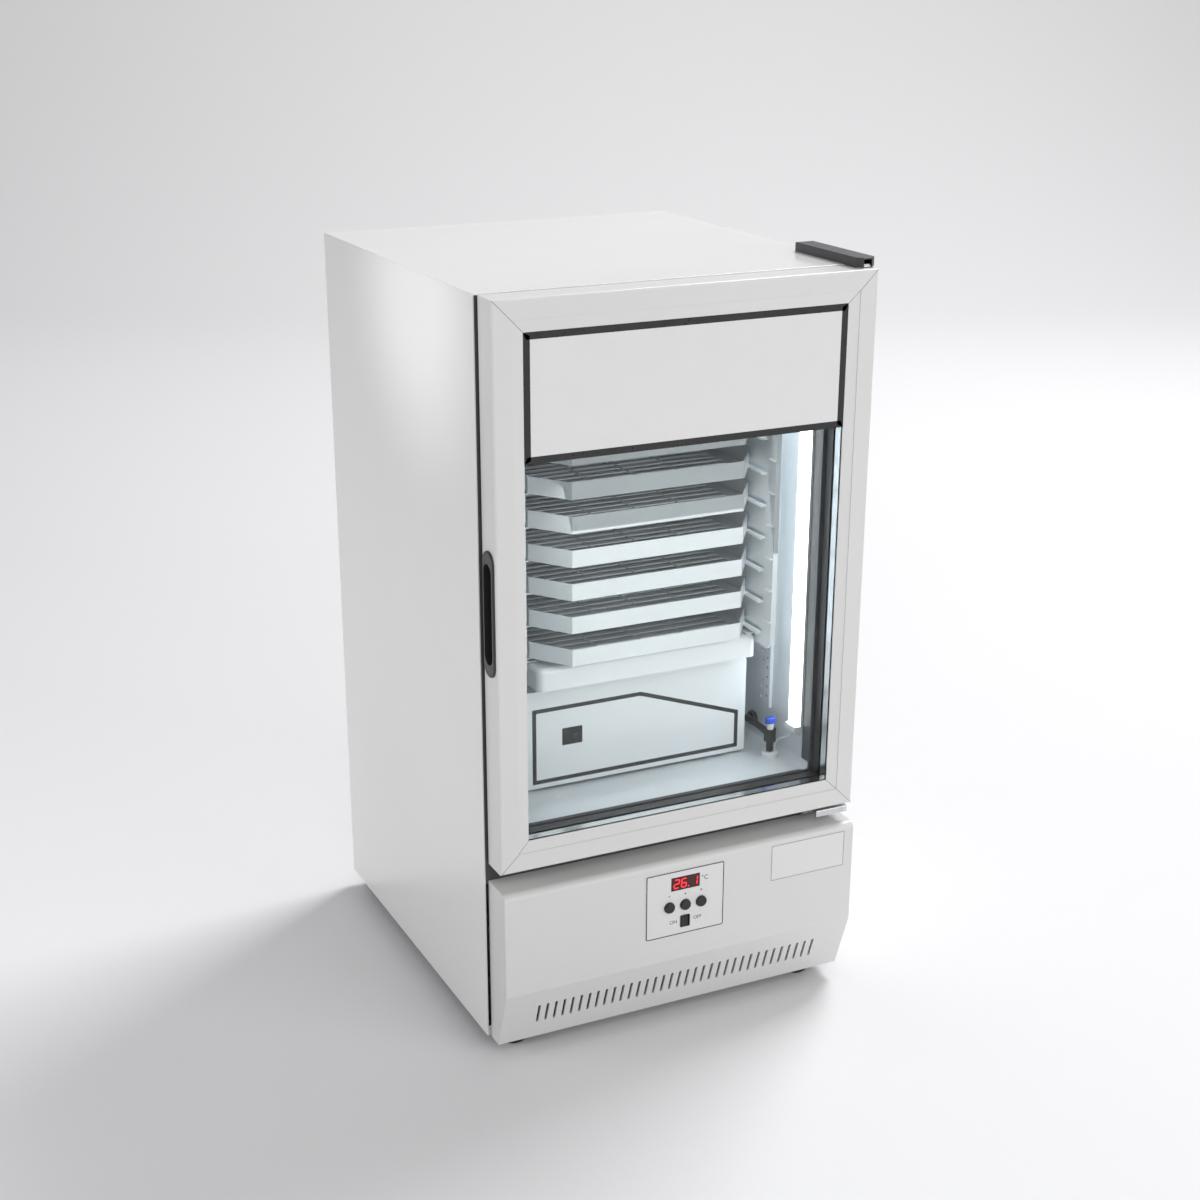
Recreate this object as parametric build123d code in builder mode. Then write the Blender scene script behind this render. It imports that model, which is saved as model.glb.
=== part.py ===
"""Platelet agitator: a glass-door incubator cabinet with a seven-tray shaking rack.

Millimetres. X is to the right, Y is from the front to the back, Z is up.
The origin is on the floor, at the middle of the whole object.
"""
from build123d import *
import math
import os

os.makedirs("parts", exist_ok=True)

# Cabinet, outside
cabinet_width = 450.0
cabinet_depth = 461.0
cabinet_height = 832.0
sheet = 1.2
return_flange = 15.0
corner_radius = 1.0
foot_height = 22.0
foot_radius = 15.5
foot_inset_x = 38.0
foot_inset_front = 18.0
foot_inset_rear = 31.0

# Chamber, inside
side_wall = 40.0
rear_wall = 50.0
floor_level = 249.0
chamber_height = 543.0
floor_slab = 40.0
liner_sheet = 2.0
liner_radius = 10.0

# Dark ring between the outer sheets and the liner
ring_thickness = 3.0
ring_overlap = 1.5
ring_lip_side = 17.0
ring_lip_floor = 6.0
ring_rail_bottom = 190.0

# Door
door_inset = 4.1
door_bottom = 215.7
door_top_gap = 0.7
door_thickness = 34.0
door_gap = 2.9
stile = 34.0
flat_band = 21.0
band_step = 0.8
inner_slope = 1.8
lip_thickness = 1.3
rebate = 9.0
glass = 4.0
glass_space = 10.0
glass_play = 0.5
front_edge_radius = 2.5
hinge_edge_chamfer = 5.0
seal_width = 10.0
seal_inset = 10.5
seal_groove = 3.0
seal_clearance = 0.3
header_height = 132.6
header_thickness = 1.0
spacer_edge = 0.5

# Hinges
hinge_inset = 12.0
pin_radius = 4.0
pin_clearance = 0.05
pin_length = 10.5
hinge_plate = 3.0
cover_height = 10.0
cover_width = 23.0
cover_back = 100.0
cover_wall = 1.8
cover_chamfer = 6.0
bracket_width = 41.0
bracket_reach = 34.0
bracket_lip = 7.5
bracket_flange = 17.0
collar_radius = 7.0
collar_height_gap = 3.7
cover_shift = 3.6
cover_nose = 8.0
bracket_right = 8.1

# Door handle
handle_height = 507.2
handle_length = 136.7
handle_width = 27.0
handle_proud = 2.5
slot_length = 109.5
slot_width = 20.0
cup_depth = 20.0
cup_wall = 1.5

# Lower fascia
fascia_inset = 4.6
fascia_depth = 45.0
fascia_top = 193.8
fascia_bend = 69.5
fascia_foot = 20.5
fascia_drop = 1.9
fascia_wall = 2.5
fascia_top_radius = 8.0
vent_count = 35
vent_pitch = 10.41
vent_length = 28.0
vent_width = 3.2
fascia_bend_radius = 6.0

# Control panel
control_x = -0.6
plate_width = 98.8
plate_height = 80.3
plate_level = 140.9
plate_thickness = 0.8
plate_radius = 2.0
display_width = 36.0
display_height = 16.3
display_level = 164.8
button_radius = 6.3
button_pitch = 20.2
button_level = 137.2
button_proud = 3.2
button_travel = 1.5
button_clearance = 0.3
rocker_level = 116.7
rocker_width = 11.9
rocker_height = 14.6
rocker_swing = 20.0
bezel_wall = 0.9
bezel_proud = 1.0
controller_half = 42.0
controller_margin = 13.0
controller_depth = 30.0
rim_width = 1.0
rim_thickness = 1.0
pivot_depth = 3.2
rocker_well = 4.6
trunnion_radius = 1.0
crest_x = 3.8
crest_y = 5.0
valley_y = 4.4
waist_x = 4.4
tail_x = 2.6
tail_y = 3.4

# Shaking carriage
stroke = 38.0
deck_half = 137.2
deck_front = 50.0
deck_back = 330.0
deck_level = 382.1
deck_height = 26.2
deck_sheet = 2.0
deck_corner = 8.0
deck_edge = 6.0
rack_half = 138.0
rack_sheet = 1.5
rack_front = 21.0
rack_back = 322.0
rack_bottom = 399.0
rack_top = 696.0
tray_count = 7
tray_pitch = 37.5
tray_level = 414.1
tray_height = 19.0
tray_sheet = 1.3
tray_half = 135.7
tray_nose_half = 103.9
tray_front = 32.0
tray_shoulder = 76.6
tray_back = 320.5
slot_pitch = 15.6
floor_slot_width = 9.0
floor_slot_half = 117.0
floor_slot_margin = 18.7
tie_width = 2.5
tie_pitch = 54.0
tie_count = 3
fold_joint = 0.1
lap_width = 7.0
lap_thickness = 0.6
ledge_width = 6.5
window_height = 5.0
window_front = 41.0
rack_margin = 11.0
rack_flange = 6.0
rack_foot = 12.0
tab_drop = 2.0
tab_reach = 4.0
tab_length = 12.0
slide_clearance = 0.3

# Shaker drive
housing_half = 142.4
housing_front = 80.0
housing_back = 330.0
housing_height = 117.9
housing_wall = 1.5
housing_radius = 5.0
drive_foot_height = 4.0
drive_foot_radius = 8.0
drive_y = 190.0
rod_level = 390.0
rod_radius = 4.0
rod_spacing = 160.0
rod_stand_x = 105.0
rod_stand = 12.0
bearing_x = 55.0
bearing_length = 30.0
bearing_depth = 18.0
running_clearance = 0.05
shaft_radius = 5.0
disc_radius = 28.0
disc_thickness = 8.0
crank_pin_radius = 4.0
yoke_slack = 0.3
yoke_gap = 5.0
yoke_wall = 8.0
yoke_web = 3.0
disc_gap = 2.0
crank_pin_length = 21.0
gearbox_width = 72.0
gearbox_depth = 96.0
gearbox_height = 48.0
motor_offset = 14.0
motor_can_radius = 30.0
motor_can_length = 46.0

# Places worked out from the sizes above
button_reach = fascia_depth + plate_thickness + button_proud
front_y = -(cabinet_depth - button_reach) / 2
back_y = front_y + cabinet_depth
base_z = foot_height
top_z = base_z + cabinet_height
half_width = cabinet_width / 2
skin_x = half_width - sheet
chamber_x = half_width - side_wall
liner_x = chamber_x + liner_sheet
floor_z = base_z + floor_level
ceiling_z = floor_z + chamber_height
chamber_back = back_y - rear_wall
slab_z = floor_z - floor_slab
rear_inner_y = back_y - 2 * sheet


def at_depth(y):
    """Upright plane seen from the front, y behind the cabinet's front face."""
    return Plane.XZ.offset(-(front_y + y))


def block(x, y, z, mode=Mode.ADD):
    """Rectangular piece between two x, two y and two z values."""
    middle = ((x[0] + x[1]) / 2, (y[0] + y[1]) / 2, (z[0] + z[1]) / 2)
    with Locations(middle):
        Box(x[1] - x[0], y[1] - y[0], z[1] - z[0], mode=mode)


def save(piece, name):
    """Label a finished piece and write it to its own STEP file."""
    piece.part.label = name
    export_step(piece.part, f"parts/{name}.step")


# ---------------------------------------------------------------- outer sheets

def side_panel(side):
    """Outer skin with a flange folded behind the rear panel."""
    outer = side * half_width
    inner = side * skin_x
    flange = side * (half_width - return_flange)
    with BuildPart() as panel:
        with BuildSketch(Plane.XY.offset(base_z)):
            with BuildLine():
                Polyline(
                    (outer, front_y),
                    (outer, back_y),
                    (flange, back_y),
                    (flange, back_y - sheet),
                    (inner, back_y - sheet),
                    (inner, front_y),
                    close=True,
                )
            make_face()
        extrude(amount=cabinet_height - sheet)
        outer_edges = panel.edges().filter_by(Axis.Z).group_by(Axis.Y)[-1]
        fillet(outer_edges.sort_by(Axis.X)[-1 if side > 0 else 0], radius=corner_radius)
    return panel


for side, name in ((-1, "left_side_panel"), (1, "right_side_panel")):
    save(side_panel(side), name)

with BuildPart() as top_panel:
    with BuildSketch(Plane.XY.offset(top_z - sheet)):
        with Locations((0, (front_y + back_y) / 2)):
            Rectangle(cabinet_width, cabinet_depth)
    extrude(amount=sheet)
    fillet(top_panel.faces().sort_by(Axis.Z)[-1].edges(), radius=corner_radius)
    # hems that hook inside the side panels
    hem_top = top_z - sheet
    hem = return_flange / 2
    for side in (-1, 1):
        hem_x = sorted((side * skin_x, side * (skin_x - sheet)))
        block(hem_x, (front_y + ring_thickness, rear_inner_y), (hem_top - hem, hem_top))
save(top_panel, "top_panel")

# rear panel with a row of air slots for the machine compartment
rear_slot_count = 18
rear_slot_pitch = 18.0
rear_slot_height = 110.0
rear_slot_width = 6.0
rear_slot_level = 120.0
inlet_x = 165.0
inlet_level = 38.0
inlet_width = 48.0
inlet_height = 27.0
with BuildPart() as rear_panel:
    with BuildSketch(at_depth(cabinet_depth - 2 * sheet)):
        with Locations((0, (base_z + top_z - sheet) / 2)):
            Rectangle(2 * skin_x, cabinet_height - sheet)
        with Locations((0, base_z + rear_slot_level)):
            with GridLocations(rear_slot_pitch, 0, rear_slot_count, 1):
                Rectangle(rear_slot_width, rear_slot_height, mode=Mode.SUBTRACT)
        with Locations((inlet_x, base_z + inlet_level)):
            Rectangle(inlet_width, inlet_height, mode=Mode.SUBTRACT)
    extrude(amount=-sheet)
save(rear_panel, "rear_panel")

inlet_depth = 22.0
inlet_flange = 4.0
with BuildPart() as mains_inlet:
    with BuildSketch(at_depth(cabinet_depth - sheet)):
        with Locations((inlet_x, base_z + inlet_level)):
            RectangleRounded(inlet_width + 2 * inlet_flange, inlet_height + 2 * inlet_flange, inlet_flange)
    extrude(amount=-sheet)
    with BuildSketch(at_depth(cabinet_depth - sheet)):
        with Locations((inlet_x, base_z + inlet_level)):
            Rectangle(inlet_width, inlet_height)
    extrude(amount=inlet_depth)
    # recess with three contact blades left standing in it
    with BuildSketch(at_depth(cabinet_depth)):
        with Locations((inlet_x, base_z + inlet_level)):
            Rectangle(inlet_width - 2 * inlet_flange, inlet_height - 2 * inlet_flange)
            with Locations((-7, -2), (0, 3), (7, -2)):
                Rectangle(2, 5, mode=Mode.SUBTRACT)
    extrude(amount=inlet_depth * 0.75, mode=Mode.SUBTRACT)
save(mains_inlet, "mains_inlet")

pan_thickness = 1.5
pan_flange = 12.0
with BuildPart() as base_pan:
    with BuildSketch(Plane.YZ.offset(-skin_x)):
        with BuildLine():
            Polyline(
                (front_y, base_z + pan_flange),
                (front_y, base_z),
                (rear_inner_y, base_z),
                (rear_inner_y, base_z + pan_flange),
                (rear_inner_y - pan_thickness, base_z + pan_flange),
                (rear_inner_y - pan_thickness, base_z + pan_thickness),
                (front_y + pan_thickness, base_z + pan_thickness),
                (front_y + pan_thickness, base_z + pan_flange),
                close=True,
            )
        make_face()
    extrude(amount=2 * skin_x)
save(base_pan, "base_pan")

# four cabinet feet, and four small pads under the shaker drive
housing_bottom = floor_z + drive_foot_height
foot_xs = (-half_width + foot_inset_x, half_width - foot_inset_x)
foot_ys = (front_y + foot_inset_front, back_y - foot_inset_rear)
foot_places = [(x, y) for x in foot_xs for y in foot_ys]
pad_inset = 18.0
pad_xs = (-housing_half + pad_inset, housing_half - pad_inset)
pad_ys = (front_y + housing_front + pad_inset, front_y + housing_back - pad_inset)
pad_places = [(x, y) for x in pad_xs for y in pad_ys]
with BuildPart() as feet:
    with BuildSketch(Plane.XY):
        with Locations(*foot_places):
            Circle(foot_radius)
    extrude(amount=foot_height)
    chamfer(feet.edges().group_by(Axis.Z)[0], length=2.0)
    with BuildSketch(Plane.XY.offset(floor_z)):
        with Locations(*pad_places):
            Circle(drive_foot_radius)
    extrude(amount=drive_foot_height)
save(feet, "feet")

# ---------------------------------------------------------------- chamber

liner_front = front_y + ring_thickness
with BuildPart() as inner_liner:
    with BuildSketch(at_depth(ring_thickness)):
        with Locations((0, (floor_z + ceiling_z) / 2)):
            RectangleRounded(
                2 * liner_x, chamber_height + 2 * liner_sheet, liner_radius + liner_sheet
            )
    extrude(amount=-(chamber_back + liner_sheet - liner_front))
    with BuildSketch(at_depth(ring_thickness)):
        with Locations((0, (floor_z + ceiling_z) / 2)):
            RectangleRounded(2 * chamber_x, chamber_height, liner_radius)
    extrude(amount=-(chamber_back - liner_front), mode=Mode.SUBTRACT)
save(inner_liner, "inner_liner")

# foam boards round the liner, one solid each: two sides, top, floor and rear
slab_top = top_z - sheet
board_joint = 0.2
with BuildPart() as insulation:
    for side in (-1, 1):
        slab_x = sorted((side * (liner_x + board_joint), side * skin_x))
        hem_x = sorted((side * (skin_x - sheet), side * skin_x))
        block(slab_x, (liner_front, rear_inner_y), (slab_z, slab_top))
        block(hem_x, (liner_front, rear_inner_y), (slab_top - hem, slab_top), mode=Mode.SUBTRACT)
    inner_x = (-liner_x, liner_x)
    board_y = (liner_front, rear_inner_y)
    block(inner_x, board_y, (ceiling_z + liner_sheet, slab_top))
    block(inner_x, board_y, (slab_z, floor_z - liner_sheet))
    rear_board_y = (chamber_back + liner_sheet, rear_inner_y)
    rear_board_z = (floor_z - liner_sheet + board_joint, ceiling_z + liner_sheet - board_joint)
    block(inner_x, rear_board_y, rear_board_z)
save(insulation, "insulation")

# dark ring round the chamber mouth, with a lip that covers the liner's front edge
mouth_x = chamber_x - ring_overlap
mouth_bottom = floor_z + ring_overlap
mouth_top = ceiling_z - ring_overlap
with BuildPart() as front_frame:
    with BuildSketch(at_depth(0)):
        with Locations((0, (base_z + ring_rail_bottom + top_z - sheet) / 2)):
            Rectangle(2 * skin_x, top_z - sheet - base_z - ring_rail_bottom)
        with Locations((0, (mouth_bottom + mouth_top) / 2)):
            Rectangle(2 * mouth_x, mouth_top - mouth_bottom, mode=Mode.SUBTRACT)
    extrude(amount=-ring_thickness)
    lip_y = (front_y, front_y + ring_lip_side)
    for side in (-1, 1):
        lip_x = sorted((side * mouth_x, side * chamber_x))
        block(lip_x, lip_y, (floor_z + liner_radius, ceiling_z - liner_radius))
    roof_x = (liner_radius - chamber_x, chamber_x - liner_radius)
    block(roof_x, lip_y, (mouth_top, ceiling_z))
    block(roof_x, (front_y, front_y + ring_lip_floor), (floor_z, mouth_bottom))
save(front_frame, "front_frame")

# four slotted shelf standards, one solid each
standard_depth = 26.0
standard_sheet = 2.0
standard_bottom = 295.0
standard_length = 475.0
standard_rib = 11.0
rib_proud = 2.0
standard_fronts = (90.0, 300.0)
notch_pitch = 12.0
notch_count = 38
notch_height = 4.5
notch_length = 9.0
notch_offset = 19.0
notch_first = 8.0
with BuildPart() as shelf_standards:
    for side in (-1, 1):
        wall = side * chamber_x
        for front in standard_fronts:
            rib_front = front_y + front
            strip_x = sorted((wall, wall - side * standard_sheet))
            rib_x = sorted((wall, wall - side * (standard_sheet + rib_proud)))
            strip_z = (base_z + standard_bottom, base_z + standard_bottom + standard_length)
            block(strip_x, (rib_front, rib_front + standard_depth), strip_z)
            block(rib_x, (rib_front, rib_front + standard_rib), strip_z)
    notch_span = (notch_count - 1) * notch_pitch
    notch_middle = base_z + standard_bottom + notch_first + notch_span / 2
    for front in standard_fronts:
        with BuildSketch(Plane.YZ):
            with Locations((front_y + front + notch_offset, notch_middle)):
                with GridLocations(0, notch_pitch, 1, notch_count):
                    Rectangle(notch_length, notch_height)
        extrude(amount=chamber_x, both=True, mode=Mode.SUBTRACT)
save(shelf_standards, "shelf_standards")

# lamp: a slim holder on the right wall and a bowed diffuser
lamp_front = 18.0
lamp_depth = 22.0
lamp_bottom = 298.0
lamp_length = 462.0
lamp_cap = 7.0
lamp_base = 4.0
lamp_bow = 8.0
pin_drop = 6.0
lamp_y = front_y + lamp_front + lamp_depth / 2
lamp_z = base_z + lamp_bottom
cap_x = (chamber_x - lamp_base - lamp_bow, chamber_x)
cap_y = (lamp_y - lamp_depth / 2, lamp_y + lamp_depth / 2)
with BuildPart() as lamp_holder:
    block((chamber_x - lamp_base, chamber_x), cap_y, (lamp_z, lamp_z + lamp_length))
    block(cap_x, cap_y, (lamp_z - lamp_cap, lamp_z))
    block(cap_x, cap_y, (lamp_z + lamp_length, lamp_z + lamp_length + lamp_cap))
    with BuildSketch(Plane.XY.offset(lamp_z - lamp_cap)):
        with Locations((chamber_x - lamp_base, lamp_y - 3.5), (chamber_x - lamp_base, lamp_y - 7.5)):
            Circle(0.9)
    extrude(amount=-pin_drop)
save(lamp_holder, "lamp_holder")

lamp_play = 0.2
diffuser_half = lamp_depth / 2 - lamp_play
bow_top = chamber_x - lamp_base - lamp_bow
with BuildPart() as lamp_diffuser:
    with BuildSketch(Plane.XY.offset(lamp_z)):
        with BuildLine():
            ThreePointArc(
                (chamber_x - lamp_base, lamp_y - diffuser_half),
                (bow_top + lamp_play, lamp_y),
                (chamber_x - lamp_base, lamp_y + diffuser_half),
            )
            Line(
                (chamber_x - lamp_base, lamp_y + diffuser_half),
                (chamber_x - lamp_base, lamp_y - diffuser_half),
            )
        make_face()
    extrude(amount=lamp_length)
save(lamp_diffuser, "lamp_diffuser")

# drain fittings on the chamber floor
valve_x = 164.0
valve_y = front_y + 57.0
collar_height = 7.0
collar_outer = 10.0
hose_radius = 4.0
valve_radius = 7.0
valve_bottom = floor_z + 20.0
valve_top = floor_z + 35.0
bonnet_radius = 4.0
bonnet_height = 7.0
spindle_radius = 1.5
knob_height = 7.5
with BuildPart() as floor_collar:
    with BuildSketch(Plane.XY.offset(floor_z)):
        with Locations((valve_x, valve_y)):
            Circle(collar_outer)
            Circle(hose_radius, mode=Mode.SUBTRACT)
    extrude(amount=collar_height)
    fillet(floor_collar.faces().sort_by(Axis.Z)[-1].outer_wire().edges(), radius=2.5)
    with BuildSketch(Plane.XY.offset(valve_top)):
        with Locations((valve_x, valve_y)):
            Circle(bonnet_radius)
    extrude(amount=bonnet_height)
    with BuildSketch(Plane.XY.offset(valve_top + bonnet_height)):
        with Locations((valve_x, valve_y)):
            Circle(spindle_radius)
    extrude(amount=knob_height - 1.0)
save(floor_collar, "floor_collar")

# lever knob that turns on the valve's spindle
knob_z = valve_top + bonnet_height + slide_clearance
lever_length = 13.0
with BuildPart() as valve_handle:
    with BuildSketch(Plane.XY.offset(knob_z)):
        with Locations((valve_x, valve_y)):
            SlotOverall(lever_length, 7.5)
    extrude(amount=knob_height)
    fillet(valve_handle.faces().sort_by(Axis.Z)[-1].edges(), radius=1.5)
    with BuildSketch(Plane.XY.offset(knob_z)):
        with Locations((valve_x, valve_y)):
            Circle(spindle_radius + running_clearance)
    extrude(amount=knob_height - 1.0, mode=Mode.SUBTRACT)
save(valve_handle, "valve_handle")

# hose from the wall gland to the valve, and its tail down into the collar
gland_y = front_y + 129.5
gland_z = floor_z + 19.5
gland_length = 6.0
gland_radius = 9.0
hose_points = [
    (valve_x, valve_y + valve_radius - 1.0, floor_z + 28.0),
    (valve_x, valve_y + 39.0, floor_z + 30.0),
    (valve_x + 5.0, valve_y + 66.0, floor_z + 24.0),
    (chamber_x - gland_length, gland_y, gland_z),
]


def corner_radii(points, share=0.45):
    """Radius of each corner: a share of the shorter run over the tangent of half the turn."""
    radii = []
    for before, corner, after in zip(points, points[1:], points[2:]):
        run_in = Vector(*corner) - Vector(*before)
        run_out = Vector(*after) - Vector(*corner)
        turn = math.radians(run_in.get_angle(run_out))
        radii.append(share * min(run_in.length, run_out.length) / math.tan(turn / 2))
    return radii


def route_length(points, radii):
    """Length of straight runs joined by tangent arcs."""
    total = sum((Vector(*b) - Vector(*a)).length for a, b in zip(points, points[1:]))
    for radius, before, corner, after in zip(radii, points, points[1:], points[2:]):
        run_in = Vector(*corner) - Vector(*before)
        run_out = Vector(*after) - Vector(*corner)
        turn = math.radians(run_in.get_angle(run_out))
        total += radius * (turn - 2 * math.tan(turn / 2))
    return total


def report_tube(name, points, radii, radius, volume):
    """Print a tube's bend radii and compare its volume with section times length."""
    expected = math.pi * radius**2 * route_length(points, radii)
    print(f"{name}: radii {[round(r, 1) for r in radii]} volume {volume:.1f} expected {expected:.1f}")


hose_radii = corner_radii(hose_points)
with BuildPart() as drain_hose:
    with BuildLine() as hose_path:
        FilletPolyline(*hose_points, radius=hose_radii)
    hose_plane = Plane(origin=hose_path.line @ 0, z_dir=hose_path.line % 0)
    with BuildSketch(hose_plane):
        Circle(hose_radius)
    sweep()
    report_tube("drain_hose", hose_points, hose_radii, hose_radius, drain_hose.part.volume)
    with BuildSketch(Plane.XY.offset(valve_bottom)):
        with Locations((valve_x, valve_y)):
            Circle(valve_radius)
    extrude(amount=valve_top - valve_bottom)
    with BuildSketch(Plane.XY.offset(floor_z)):
        with Locations((valve_x, valve_y)):
            Circle(hose_radius)
    extrude(amount=valve_bottom - floor_z)
    with BuildSketch(Plane.YZ.offset(chamber_x)):
        with Locations((gland_y, gland_z)):
            RegularPolygon(gland_radius, 6)
    extrude(amount=-gland_length)
save(drain_hose, "drain_hose")

# lead from the lamp's lower cap down to the collar
lead_radius = 1.5
lead_points = [
    (chamber_x - 6.5, lamp_y + 5.0, lamp_z - lamp_cap),
    (chamber_x - 6.5, lamp_y + 5.0, lamp_z - lamp_cap - 8.0),
    (chamber_x - 8.5, lamp_y + 13.0, lamp_z - lamp_cap - 14.0),
    (valve_x + 9.5, valve_y - 4.5, floor_z + collar_height + 16.0),
    (valve_x + 7.4, valve_y + 1.5, floor_z + collar_height + 8.0),
    (valve_x + 7.4, valve_y + 1.5, floor_z + collar_height),
]
lead_radii = corner_radii(lead_points)
with BuildPart() as lamp_lead:
    with BuildLine() as lead_path:
        FilletPolyline(*lead_points, radius=lead_radii)
    lead_plane = Plane(origin=lead_path.line @ 0, z_dir=lead_path.line % 0)
    with BuildSketch(lead_plane):
        Circle(lead_radius)
    sweep()
    report_tube("lamp_lead", lead_points, lead_radii, lead_radius, lamp_lead.part.volume)
save(lamp_lead, "lamp_lead")

# ---------------------------------------------------------------- air circulation behind the rack

duct_half = 150.0
duct_depth = 40.0
duct_bottom = floor_z + 60.0
duct_top = ceiling_z - 25.0
duct_sheet = 1.2
duct_front = chamber_back - duct_depth
fan_z = duct_top - 75.0
fan_hole = 56.0
air_fan_radius = 52.0
air_fan_depth = 14.0
air_slots = 8
evaporator_depth = 24.0
evaporator_top = fan_z - fan_hole - 20.0
motor_radius = 17.0
motor_length = 14.0
air_fan_hub = 16.0
fan_shaft = 3.0
fan_blades = 5
blade_pitch = 24.0
blade_sheet = 1.2
hub_face = 2.0
motor_strap = 24.0
strap_sheet = 2.0
tube_gauge = 4.0
tube_margin = 4.0
fin_gauge = 1.0
shaft_setback = 1.5
with BuildPart() as air_duct:
    with BuildSketch(Plane.XZ.offset(-duct_front)):
        with Locations((0, (duct_bottom + duct_top) / 2)):
            Rectangle(2 * duct_half, duct_top - duct_bottom)
    extrude(amount=-duct_depth)
    offset(amount=-duct_sheet, openings=air_duct.faces().sort_by(Axis.Y)[-1])
    with BuildSketch(Plane.XZ.offset(-duct_front)):
        with Locations((0, fan_z)):
            Circle(fan_hole)
        with Locations((0, duct_bottom + 40)):
            with GridLocations(0, 12, 1, air_slots // 2):
                Rectangle(1.6 * duct_half, 5)
    extrude(amount=-duct_sheet, mode=Mode.SUBTRACT)
    # motor with its shaft, carried on a cross strap behind the fan
    strap_y = chamber_back - motor_length - 4.0
    strap_half = duct_half - duct_sheet
    strap_z = (fan_z - motor_strap / 2, fan_z + motor_strap / 2)
    block((-strap_half, strap_half), (strap_y, strap_y + strap_sheet), strap_z)
    with BuildSketch(Plane.XZ.offset(-strap_y)):
        with Locations((0, fan_z)):
            Circle(motor_radius)
    extrude(amount=-motor_length)
    with BuildSketch(Plane.XZ.offset(-strap_y)):
        with Locations((0, fan_z)):
            Circle(fan_shaft)
    extrude(amount=air_fan_depth - shaft_setback)
save(air_duct, "air_duct")


def fan(centre, radius, hub, depth):
    """Axial fan facing the front, with twisted flat blades round a hub."""
    x, y, z = centre
    blade_width = 0.62 * radius
    with BuildPart() as rotor:
        with BuildSketch(Plane(origin=(x, y, z), x_dir=(1, 0, 0), z_dir=(0, 1, 0))):
            Circle(hub)
        extrude(amount=depth)
        for index in range(fan_blades):
            angle = math.radians(360 / fan_blades * index)
            tilt = math.radians(blade_pitch)
            along = Vector(math.cos(angle), 0, math.sin(angle))
            across = Vector(-math.sin(angle), 0, math.cos(angle))
            normal = across * math.sin(tilt) + Vector(0, 1, 0) * math.cos(tilt)
            middle = Vector(x, y + depth / 2, z)
            with BuildSketch(Plane(origin=middle, x_dir=along, z_dir=normal)):
                with BuildLine():
                    Polyline(
                        (hub - 1, -blade_width / 3),
                        (radius, -blade_width / 2),
                        (radius, blade_width / 2),
                        (hub - 1, blade_width / 3),
                        close=True,
                    )
                make_face()
            extrude(amount=blade_sheet / 2, both=True)
        with BuildSketch(Plane(origin=(x, y + hub_face, z), x_dir=(1, 0, 0), z_dir=(0, 1, 0))):
            Circle(fan_shaft + running_clearance)
        extrude(amount=depth, mode=Mode.SUBTRACT)
    return rotor


air_fan_y = strap_y - air_fan_depth - 1.0
save(fan((0, air_fan_y, fan_z), air_fan_radius, air_fan_hub, air_fan_depth), "circulation_fan")

with BuildPart() as evaporator:
    tube_rows = 8
    evaporator_fins = 14
    fin_bottom = duct_bottom + duct_sheet
    tube_step = (evaporator_top - fin_bottom) / tube_rows
    tube_y = chamber_back - evaporator_depth / 2 - 1
    fin_half = duct_half - 25.0
    with BuildSketch(Plane.YZ.offset(-fin_half)):
        with Locations((tube_y, (fin_bottom + evaporator_top) / 2)):
            with GridLocations(0, tube_step, 1, tube_rows):
                Rectangle(evaporator_depth - 2 * tube_margin, tube_gauge)
    extrude(amount=2 * fin_half)
    with BuildSketch(Plane.XY.offset(fin_bottom)):
        with Locations((0, tube_y)):
            with GridLocations(2 * fin_half / evaporator_fins, 0, evaporator_fins, 1):
                Rectangle(fin_gauge, evaporator_depth)
    extrude(amount=tube_rows * tube_step)
save(evaporator, "evaporator")

# ---------------------------------------------------------------- machine compartment

comp_x = 115.0
comp_y = front_y + 300.0
comp_radius = 68.0
comp_height = 150.0
can_lift = 8.0
can_dome = 42.0
can_heel = 14.0
plate_gauge = 3.0
comp_z = base_z + pan_thickness
with BuildPart() as compressor:
    # domed can
    with BuildSketch(Plane.XY.offset(comp_z + can_lift)):
        with Locations((comp_x, comp_y)):
            Circle(comp_radius)
    extrude(amount=comp_height - can_lift)
    fillet(compressor.edges().group_by(Axis.Z)[-1], radius=can_dome)
    fillet(compressor.edges().group_by(Axis.Z)[0], radius=can_heel)
    # seam flange, mounting plate and its four grommets
    with BuildSketch(Plane.XY.offset(comp_z + comp_height / 2)):
        with Locations((comp_x, comp_y)):
            Circle(comp_radius + 2.5)
    extrude(amount=3)
    with BuildSketch(Plane.XY.offset(comp_z + can_lift)):
        with Locations((comp_x, comp_y)):
            RectangleRounded(2 * comp_radius + 30, 110, 12)
    extrude(amount=plate_gauge)
    with BuildSketch(Plane.XY.offset(comp_z)):
        with Locations((comp_x, comp_y)):
            with GridLocations(2 * comp_radius + 6, 86, 2, 2):
                Circle(9)
    extrude(amount=can_lift)
    # suction and discharge stubs
    with BuildSketch(Plane.YZ.offset(comp_x)):
        with Locations((comp_y - 15, comp_z + 60), (comp_y + 15, comp_z + 60)):
            Circle(4)
    extrude(amount=-(comp_radius + 18))
save(compressor, "compressor")

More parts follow.
